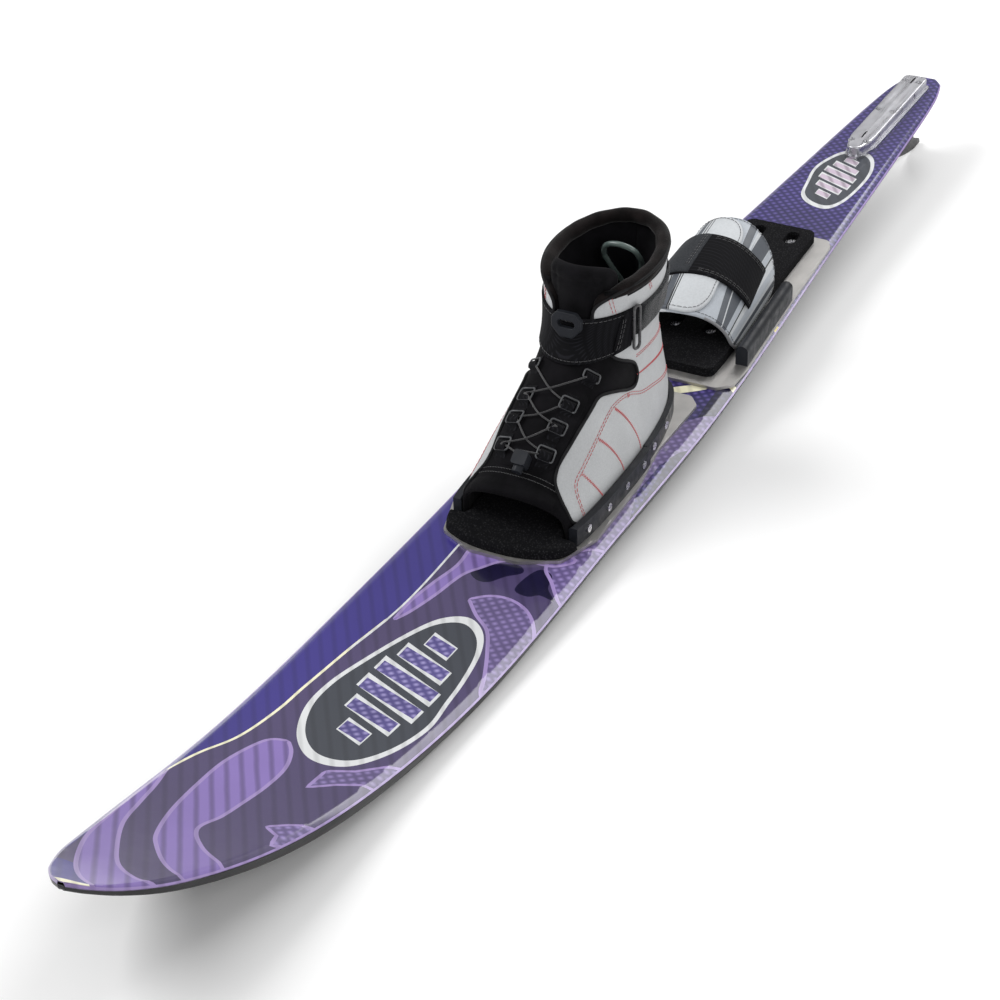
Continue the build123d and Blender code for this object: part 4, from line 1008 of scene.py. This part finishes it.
def make_strap():
    ring = boot_side([(872, 138)], 1)[0][0]
    whole = 2 * pi * ANGLE_SCALE
    outline = strap_band(ring - whole + 62, ring + 4, steps=90)
    piece = draped("ankle_strap_web", outline, on_boot, 1.5, 1.9, finishes["web"], step=6,
                   rounding=0.8)
    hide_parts("ankle_strap")
    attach(piece, "cuff")
    tail = strap_band(ring + 7, ring + 72, 6, -2, 30)
    back = draped("strap_return", tail, on_boot, 1.5, 3.2, finishes["pile"], step=2.6,
                  rounding=1.2, extra=ripples)
    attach(back, "cuff")
    fold = strap_band(ring - 14, ring + 5, 0, 0, 16)
    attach(draped("strap_fold", fold, on_boot, 3.2, 1.6, finishes["web"], step=3,
                   rounding=1.4), "cuff")
    seams = []
    for shift in (2.6, -2.6):
        edge = strap_band(ring - 120, ring - 2, 0, 0, 60)
        half = len(edge) // 2
        line = edge[:half] + (0, 2.6) if shift > 0 else edge[half:] - (0, 2.6)
        seams += stitches(line, on_boot, 3.5)
    for angle in (ring - 13, ring - 10.6):
        line = straight_line([(angle, 124), (angle, 154)], 2)
        seams += stitches(line, on_boot, 4.9)
    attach(many_tubes("strap_stitches", seams, 0.3, finishes["dark_thread"]), "cuff")


def rounded_loop(width, height, corner, count=6):
    """A rounded rectangle's outline in its own plane."""
    points = []
    for cx, cy, turn in ((1, 1, 0), (-1, 1, 1), (-1, -1, 2), (1, -1, 3)):
        for k in range(count + 1):
            angle = pi / 2 * (turn + k / count)
            points.append((cx * (width / 2 - corner) + corner * cos(angle),
                           cy * (height / 2 - corner) + corner * sin(angle)))
    return np.array(points)


def make_ring():
    """The strap's long wire ring, standing beside the strap."""
    turn = radians(14)
    y = on_boot(boot_side([(872, 138)], 1), 3.3)[0][1] + 3.5
    loop = rounded_loop(42, 8, 3.9)
    line = [(872 + b * cos(turn), y - b * sin(turn), 138 + a) for a, b in loop]
    piece = tube("strap_ring_wire", line, 1.4, finishes["ring"], 12, closed=True)
    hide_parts("strap_ring")
    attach(piece, "cuff")


def instep_frame(level, y, lift):
    """Origin, up-slope, across and outward directions on the instep."""
    def front(at_level, at_y):
        return on_boot(boot_front([(at_y, at_level)]), 0)[0]

    up = front(level + 3, y) - front(level - 3, y)
    up /= np.linalg.norm(up)
    across = front(level, y + 3) - front(level, y - 3)
    across /= np.linalg.norm(across)
    out = np.cross(across, up)
    out /= np.linalg.norm(out)
    out = out if out[0] > 0 else -out
    across = np.cross(up, out)
    return front(level, y) + out * lift, up, across, out


LOOP_ROWS, LOOP_Y = (71.0, 84.5, 95.0), 19.0
UPPER_LEVEL, UPPER_Y = 108.5, 25.0


def make_loops():
    """Square rings with the webbing that holds them, in pairs up the instep."""
    sets = [("lace_rings", "front_binding", [(level, y) for level in LOOP_ROWS for y in (-LOOP_Y, LOOP_Y)],
             14.0, "lace_loops"),
            ("upper_rings", "cuff", [(UPPER_LEVEL, y) for y in (-UPPER_Y, UPPER_Y)], 10.0,
             "upper_lace_loops")]
    for name, body, places, height, node in sets:
        lines = []
        for level, y in places:
            origin, up, across, out = instep_frame(level, y, 3.6)
            loop = rounded_loop(height - 2, 15, 2.0, 4)
            loop = np.concatenate([loop, loop[:1]])
            lines.append([origin + up * a + across * b for a, b in loop])
        piece = many_tubes(name, lines, 0.8, finishes["loop"], 8)
        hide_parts(node)
        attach(piece, body)
    tabs, faces = [], []
    for level, y in sets[0][2] + sets[1][2]:
        height = 14.0 if level < 100 else 10.0
        origin, up, across, out = instep_frame(level, y, 0.2)
        profile = [(-height * 0.9, 0.2), (-height * 0.62, 1.3), (-height * 0.42, 4.6), (-height * 0.2, 5.6),
                   (0.1 * height, 5.2), (height * 0.28, 1.6), (height * 0.5, 1.3), (height * 0.8, 0.2)]
        profile = smooth_line(profile, 1.0)
        rows = []
        for a, b in profile:
            rows.append([origin + up * a + out * b + across * w for w in (-5.4, -5.0, 5.0, 5.4)])
        start = len(tabs)
        under = [[p - out * 1.1 for p in row] for row in rows]
        count = len(rows)
        for row, low_row in zip(rows, under):
            tabs += row + low_row[::-1]
        faces += [[start + k for k in f] for f in grid_faces(count, 8, True)]
        faces += [[start + k for k in range(8)][::-1], [start + (count - 1) * 8 + k for k in range(8)]]
    piece = add_mesh("ring_tabs", tabs, faces, finishes["web"])
    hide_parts("loop_tabs")
    flexes(piece)


def make_laces():
    """Thin crossed laces through the rings, from the cord lock up to the lace handle."""
    def place(level, y, lift):
        return instep_frame(level, y, lift)[0]

    rows = list(LOOP_ROWS) + [UPPER_LEVEL]
    ys = [LOOP_Y - 6] * 3 + [UPPER_Y - 6]
    for side, word in ((1, "left"), (-1, "right")):
        points = [place(67 if side > 0 else 70.5, 6 if side > 0 else 1, 9),
                  place(rows[0], -side * ys[0], 4.8)]
        for k in range(len(rows) - 1):
            flip = side if k % 2 else -side
            middle = (rows[k] + rows[k + 1]) / 2
            points += [place(rows[k], flip * (ys[k] + 5), 5.6 if side > 0 else 4.6),
                       place(middle, 0, 5.2 if side > 0 else 3.2),
                       place(rows[k + 1], -flip * (ys[k + 1] + 3), 5.4 if side > 0 else 4.6)]
        dense = smooth_line(points, 2.0)
        piece = tube("lace_" + word, dense, 0.8, finishes["cord"], 8)
        if side > 0:
            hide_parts("lace")
        flexes(piece)


def make_toe_lip():
    """The wide padded band across the toe opening, with two rows of stitches along its rear edge."""
    def across(back):
        return np.concatenate([toe_opening(-1, back), toe_opening(1, back)[::-1][1:]])

    outline = np.concatenate([across(0.0), across(14.0)[::-1]])
    outline = straight_line(outline, 2.5, True)
    piece = draped("toe_lip", outline, on_boot, -BOOT_WALL, BOOT_WALL + 2.4, finishes["neoprene"],
                   step=3, rounding=4.5, crown=0.8, crown_run=7)
    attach(piece, "front_binding")
    for back, name in ((16.5, "toe_seam"), (20.0, "toe_seam_back")):
        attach(many_tubes(name, stitches(smooth_line(across(back)[1:-1], 2), on_boot, 0.35, 2.6, 1.0), 0.3,
                           finishes["dark_thread"]), "front_binding")


def make_instep_panel():
    """The raised overlay on the instep behind the toe opening, under the rings."""
    outline = smooth_line(boot_front([(-28, 62), (0, 63), (28, 62), (30, 80), (28, 98), (0, 99), (-28, 98),
                                      (-30, 80)]), 4, True)
    flexes(draped("instep_pad", outline, on_boot, 0.0, 0.8, finishes["neoprene"], step=6,
                  rounding=2.0, crown=0.5))


def make_heel_tube():
    lean = radians(24)
    up = np.array([sin(lean), 0, cos(lean)])
    across = np.array([0, 1.0, 0])
    origin = np.array([783.0, 0, 119.0])
    path = [(-4, -2), (-6, 8), (-15, 32), (-18, 46), (-14, 58), (-5, 63), (5, 63), (14, 58), (18, 46), (15, 32),
            (6, 8), (4, -2)]
    line = [origin + across * a + up * b for a, b in smooth_line(path, 2.5)]
    piece = tube("heel_tube", line, 2.6, finishes["vinyl"], 14)
    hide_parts("heel_pull_loop")
    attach(piece, "heel_loop")


def make_footbed():
    """The front footbed: inside the boot to the toe opening, then out over the front of the plate."""
    turns = np.linspace(0.32, 2 * pi - 0.32, 70)
    heel = on_boot(np.stack([turns * ANGLE_SCALE, np.zeros(70)], 1), -BOOT_WALL - 1.0)[:, :2]
    heel = heel[(heel[:, 0] < PAD_REAR - 2) & (np.abs(heel[:, 1]) < 47)]
    pad = [(PAD_REAR, -48), (PAD_REAR + 0.5, -61), (1040, -54.5), (1050, -38), (1055, -20), (1056.5, 0)]
    pad = np.array(pad + [(x, -y) for x, y in pad[-2::-1]])
    pad = np.concatenate([pad[:1], smooth_line(pad[1:-1], 3), pad[-1:]])
    outline = np.concatenate([pad, straight_line(heel, 4)])

    def on_plate(flat, lift):
        return np.stack([flat[:, 0], flat[:, 1], PLATE_TOP + np.asarray(lift, float)], 1)

    def grooves(flat, depth):
        first = np.abs(np.sin((flat[:, 0] + flat[:, 1]) * pi / 11))
        second = np.abs(np.sin((flat[:, 0] - flat[:, 1]) * pi / 11))
        return -0.7 * np.clip(1 - np.minimum(first, second) / 0.3, 0, 1) * np.clip(depth / 4, 0, 1)

    piece = draped("front_bed", outline, on_plate, 0.3, 9.2, finishes["eva"], step=1.9,
                   rounding=2.2, extra=grooves)
    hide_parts("front_footbed")
    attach(piece, "front_binding")


make_footbed()
make_bootie()
make_panels()
make_collar()
make_tongue()
make_strap()
make_ring()
make_loops()
make_laces()
make_toe_lip()
make_instep_panel()
make_heel_tube()

# ---------------------------------------------------------------- rear strap
ARCH_BASE, ARCH_POWER, ARCH_SCALE = 3.1, 2 / 2.3, 52.0
ARCH_XS, ARCH_HALVES, ARCH_TOPS = (545, 612.5, 680), (45, 50, 54), (78, 66, 45)
arch_half = np.polyfit(ARCH_XS, ARCH_HALVES, 2)
arch_top = np.polyfit(ARCH_XS, ARCH_TOPS, 2)


def on_arch(flat, grow):
    """Points on the strap's arch from (x, angle x ARCH_SCALE), the angle counted from the y > 0 side."""
    x, angle = flat[:, 0], flat[:, 1] / ARCH_SCALE
    half, rise = np.polyval(arch_half, x) + grow, np.polyval(arch_top, x) - ARCH_BASE + grow
    c, s = np.cos(angle), np.sin(angle)
    across = half * np.sign(c) * np.abs(c)**ARCH_POWER
    return np.stack([x, across, ARCH_BASE + rise * np.abs(s)**ARCH_POWER], 1)


def arch_places(points):
    """Flat arch places of (x, degrees) points."""
    return np.asarray(points, float) * (1, radians(1) * ARCH_SCALE)


def stripe(rear, middle, front, width):
    """Outline of a stripe along the arch: degrees at x 540, 580 and 636, and its width in degrees."""
    run = np.polyfit((540, 580, 636), (rear, middle, front), 2)
    xs = np.linspace(536, 686, 40)
    slope = np.gradient(np.polyval(run, xs), xs)[30]
    line = np.polyval(run, np.minimum(xs, 660)) + slope * np.maximum(xs - 660, 0)
    low = np.stack([xs, line - width / 2], 1)
    high = np.stack([xs, line + width / 2], 1)
    return arch_places(np.concatenate([low, high[::-1]]))


def coated(name, color):
    finish = Finish(name, color, 0.45, Specular_IOR_Level=0.35)
    finish.tinted(finish.noise(500, 3), shade(color, 0.94), shade(color, 1.05), finish.noise(20, 4), 0.07)
    finish.roughened(finish.noise(60, 4), 0.38, 0.58)
    finish.bumped(finish.cells(1300), 0.00012, 0.7)
    return keep(name, finish).mat


strap_mats = [coated("flap_white", (0.53, 0.55, 0.57)), coated("flap_light", (0.4, 0.43, 0.47)),
              coated("flap_dark", (0.085, 0.094, 0.11)), coated("flap_black", (0.012, 0.012, 0.013)),
              coated("flap_lining", (0.006, 0.006, 0.0065)), coated("flap_binding", (0.2, 0.2, 0.21))]
WHITE_PART, LIGHT_PART, DARK_PART, BLACK_PART, LINING_PART, BINDING_PART = range(6)

under_flap = [(546, 16), (552, 8), (575, 3), (620, 2), (650, 3), (663, 6), (670, 16), (672, 30), (674, 48),
              (677, 70), (680, 95), (679, 112), (660, 118), (600, 119), (552, 118), (544, 108), (541, 90), (541, 60),
              (542, 32)]
over_flap = [(546, 176), (546, 150), (546, 120), (546, 98), (549, 86), (557, 77), (566, 72), (577, 70), (605, 69),
             (635, 68), (652, 67), (664, 69), (673, 74), (679, 84), (680, 100), (680, 130), (679, 160),
             (678, 176), (610, 177)]
under_stripes = [(LIGHT_PART, stripe(90, 84, 76, 60)), (DARK_PART, stripe(68, 62.5, 53, 9)),
                 (DARK_PART, stripe(47, 46.5, 42.5, 17)), (WHITE_PART, stripe(59.5, 57, 49, 1.6)),
                 (LIGHT_PART, stripe(35, 34.5, 33, 6)), (BLACK_PART, stripe(31, 30.5, 29, 1.6)),
                 (LIGHT_PART, stripe(20, 20, 20, 7)), (DARK_PART, stripe(12, 12, 12, 4))]
over_stripes = [(LIGHT_PART, stripe(140, 138, 132, 24)), (BLACK_PART, stripe(126, 123, 114, 1.6)),
                (DARK_PART, stripe(120, 116, 109, 7)), (BLACK_PART, stripe(114, 110, 104, 1.4)),
                (BLACK_PART, stripe(110, 106.5, 101.5, 1.0)), (DARK_PART, stripe(150, 150, 150, 6))]


def bound_edge(name, line, grow):
    """Narrow tape folded over an edge of a flap."""
    points = on_arch(line, np.full(len(line), grow))
    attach(tube(name, points, 1.5, strap_mats[BINDING_PART], 8), "rear_binding")


def make_flaps():
    for name, corners, stripes, base, node in (
            ("rear_flap_under", under_flap, under_stripes, -2.0, "toe_flap_left"),
            ("rear_flap_over", over_flap, over_stripes, 0.5, "toe_flap_right")):
        outline = smooth_line(arch_places(corners), 3, True)
        piece = draped(name, outline, on_arch, base, 1.9, strap_mats, step=4, rounding=1.2,
                       regions=stripes, back_mat=LINING_PART)
        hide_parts(node)
        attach(piece, "rear_binding")
        run = np.roll(outline, -1, axis=0) - np.roll(outline, 1, axis=0)
        inward = np.stack([-run[:, 1], run[:, 0]], 1) / np.linalg.norm(run, axis=1)[:, None]
        seam = outline + inward * (3.2 if inside(outline[:1] + inward[:1], outline)[0] else -3.2)
        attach(many_tubes(name + "_stitches", stitches(seam, on_arch, base + 2.1, 2.8, 1.0), 0.26,
                           finishes["dark_thread"]), "rear_binding")
    front = arch_places([(663, 6), (670, 16), (672, 30), (674, 48), (676, 64)])
    bound_edge("rear_flap_binding", smooth_line(front, 3), -1.2)


def make_band():
    corners = [(571, 31), (577, 50), (579, 69), (579, 89), (578, 114), (577, 150), (577, 174), (641, 174),
               (640, 150), (638, 124), (637, 104), (635, 85), (634, 69), (632, 50), (629, 36), (626, 24),
               (600, 27.5)]
    outline = straight_line(arch_places(corners), 3, True)
    piece = draped("rear_band", outline, on_arch, 2.6, 1.7, finishes["web"], step=4, rounding=0.9)
    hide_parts("toe_band")
    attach(piece, "rear_binding")
    fold = straight_line(arch_places([(580, 97), (580, 174), (639, 174), (636, 97)]), 3, True)
    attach(draped("rear_band_fold", fold, on_arch, 4.1, 1.6, finishes["band_fold"], step=4,
                   rounding=1.3), "rear_binding")
    runs = []
    for inset in (3.0, 5.4):
        rear_line = arch_places([(574 + inset, 34), (579 + inset, 60), (580 + inset, 94)])
        front_line = arch_places([(627 - inset, 28), (633 - inset, 60), (635 - inset, 94)])
        for line in (rear_line, front_line):
            runs += stitches(smooth_line(line, 2), on_arch, 4.4)
        runs += stitches(straight_line(arch_places([(584, 97 + inset), (633, 97 + inset)]), 2), on_arch, 5.8)
    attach(many_tubes("rear_band_stitches", runs, 0.3, finishes["dark_thread"]), "rear_binding")


band_fold = keep("band_fold", Finish("band_fold", (0.02, 0.022, 0.026), 0.7, Specular_IOR_Level=0.25))
band_fold.colored(band_fold.noise(600, 4), (0.014, 0.016, 0.019), (0.032, 0.035, 0.041))
band_fold.bumped(band_fold.noise(1500, 4), 0.0002)
make_flaps()
make_band()

# ---------------------------------------------------------------- floor, light and camera
def make_floor():
    size, spacing = 14.0, 0.5
    ticks = np.arange(-size, size + spacing, spacing)
    points = [(x, y, -0.0005) for x in ticks for y in ticks]
    mesh = bpy.data.meshes.new("floor")
    mesh.from_pydata(points, [], [f[::-1] for f in grid_faces(len(ticks), len(ticks))])
    finish = Finish("floor_paint", (0.93, 0.93, 0.93), 0.75, Specular_IOR_Level=0.2)
    finish.colored(finish.noise(3, 3), (0.92, 0.92, 0.92), (0.94, 0.94, 0.94))
    mesh.materials.append(finish.mat)
    floor_piece = bpy.data.objects.new("floor", mesh)
    bpy.context.scene.collection.objects.link(floor_piece)


def add_light(name, place, target, size, power):
    data = bpy.data.lights.new(name, "AREA")
    data.shape = "RECTANGLE"
    data.size, data.size_y = size
    data.energy = power
    light = bpy.data.objects.new(name, data)
    light.location = place
    light.rotation_euler = (Vector(target) - Vector(place)).to_track_quat("-Z", "Y").to_euler()
    bpy.context.scene.collection.objects.link(light)


def make_world():
    world = bpy.data.worlds.new("studio")
    world.use_nodes = True
    background = world.node_tree.nodes["Background"]
    background.inputs["Color"].default_value = (1, 1, 1, 1)
    background.inputs["Strength"].default_value = 0.42
    bpy.context.scene.world = world


CAMERA = (2802.94005, 925.891454, 1338.57965)
YAW, DIP, ROLL, FOCAL = 0.484498649, 0.575467429, -0.0236285, 2.8335


def make_camera():
    forward = np.array([-cos(YAW) * cos(DIP), -sin(YAW) * cos(DIP), -sin(DIP)])
    right = np.cross(forward, (0, 0, 1))
    right /= np.linalg.norm(right)
    up = np.cross(right, forward)
    right, up = cos(ROLL) * right + sin(ROLL) * up, -sin(ROLL) * right + cos(ROLL) * up
    axes = [TURN @ v for v in (right, up, -forward)]
    data = bpy.data.cameras.new("camera")
    data.sensor_width = 36
    data.lens = 36 * FOCAL
    data.clip_end = 50
    camera = bpy.data.objects.new("camera", data)
    matrix = Matrix.Identity(4)
    for column, axis in enumerate(axes):
        for row in range(3):
            matrix[row][column] = axis[row]
    matrix.translation = Vector(placed(CAMERA)[0])
    camera.matrix_world = matrix
    bpy.context.scene.collection.objects.link(camera)
    bpy.context.scene.camera = camera


make_floor()
make_world()
add_light("key", (1.2, -2.6, 3.2), (0, 0, 0), (2.6, 2.0), 105)
add_light("fill", (2.6, 2.8, 2.2), (0, 0, 0), (2.4, 2.4), 48)
add_light("back", (-2.6, 0.6, 2.4), (0, 0, 0), (2.6, 1.4), 66)
make_camera()
bpy.context.scene.view_settings.view_transform = "Standard"
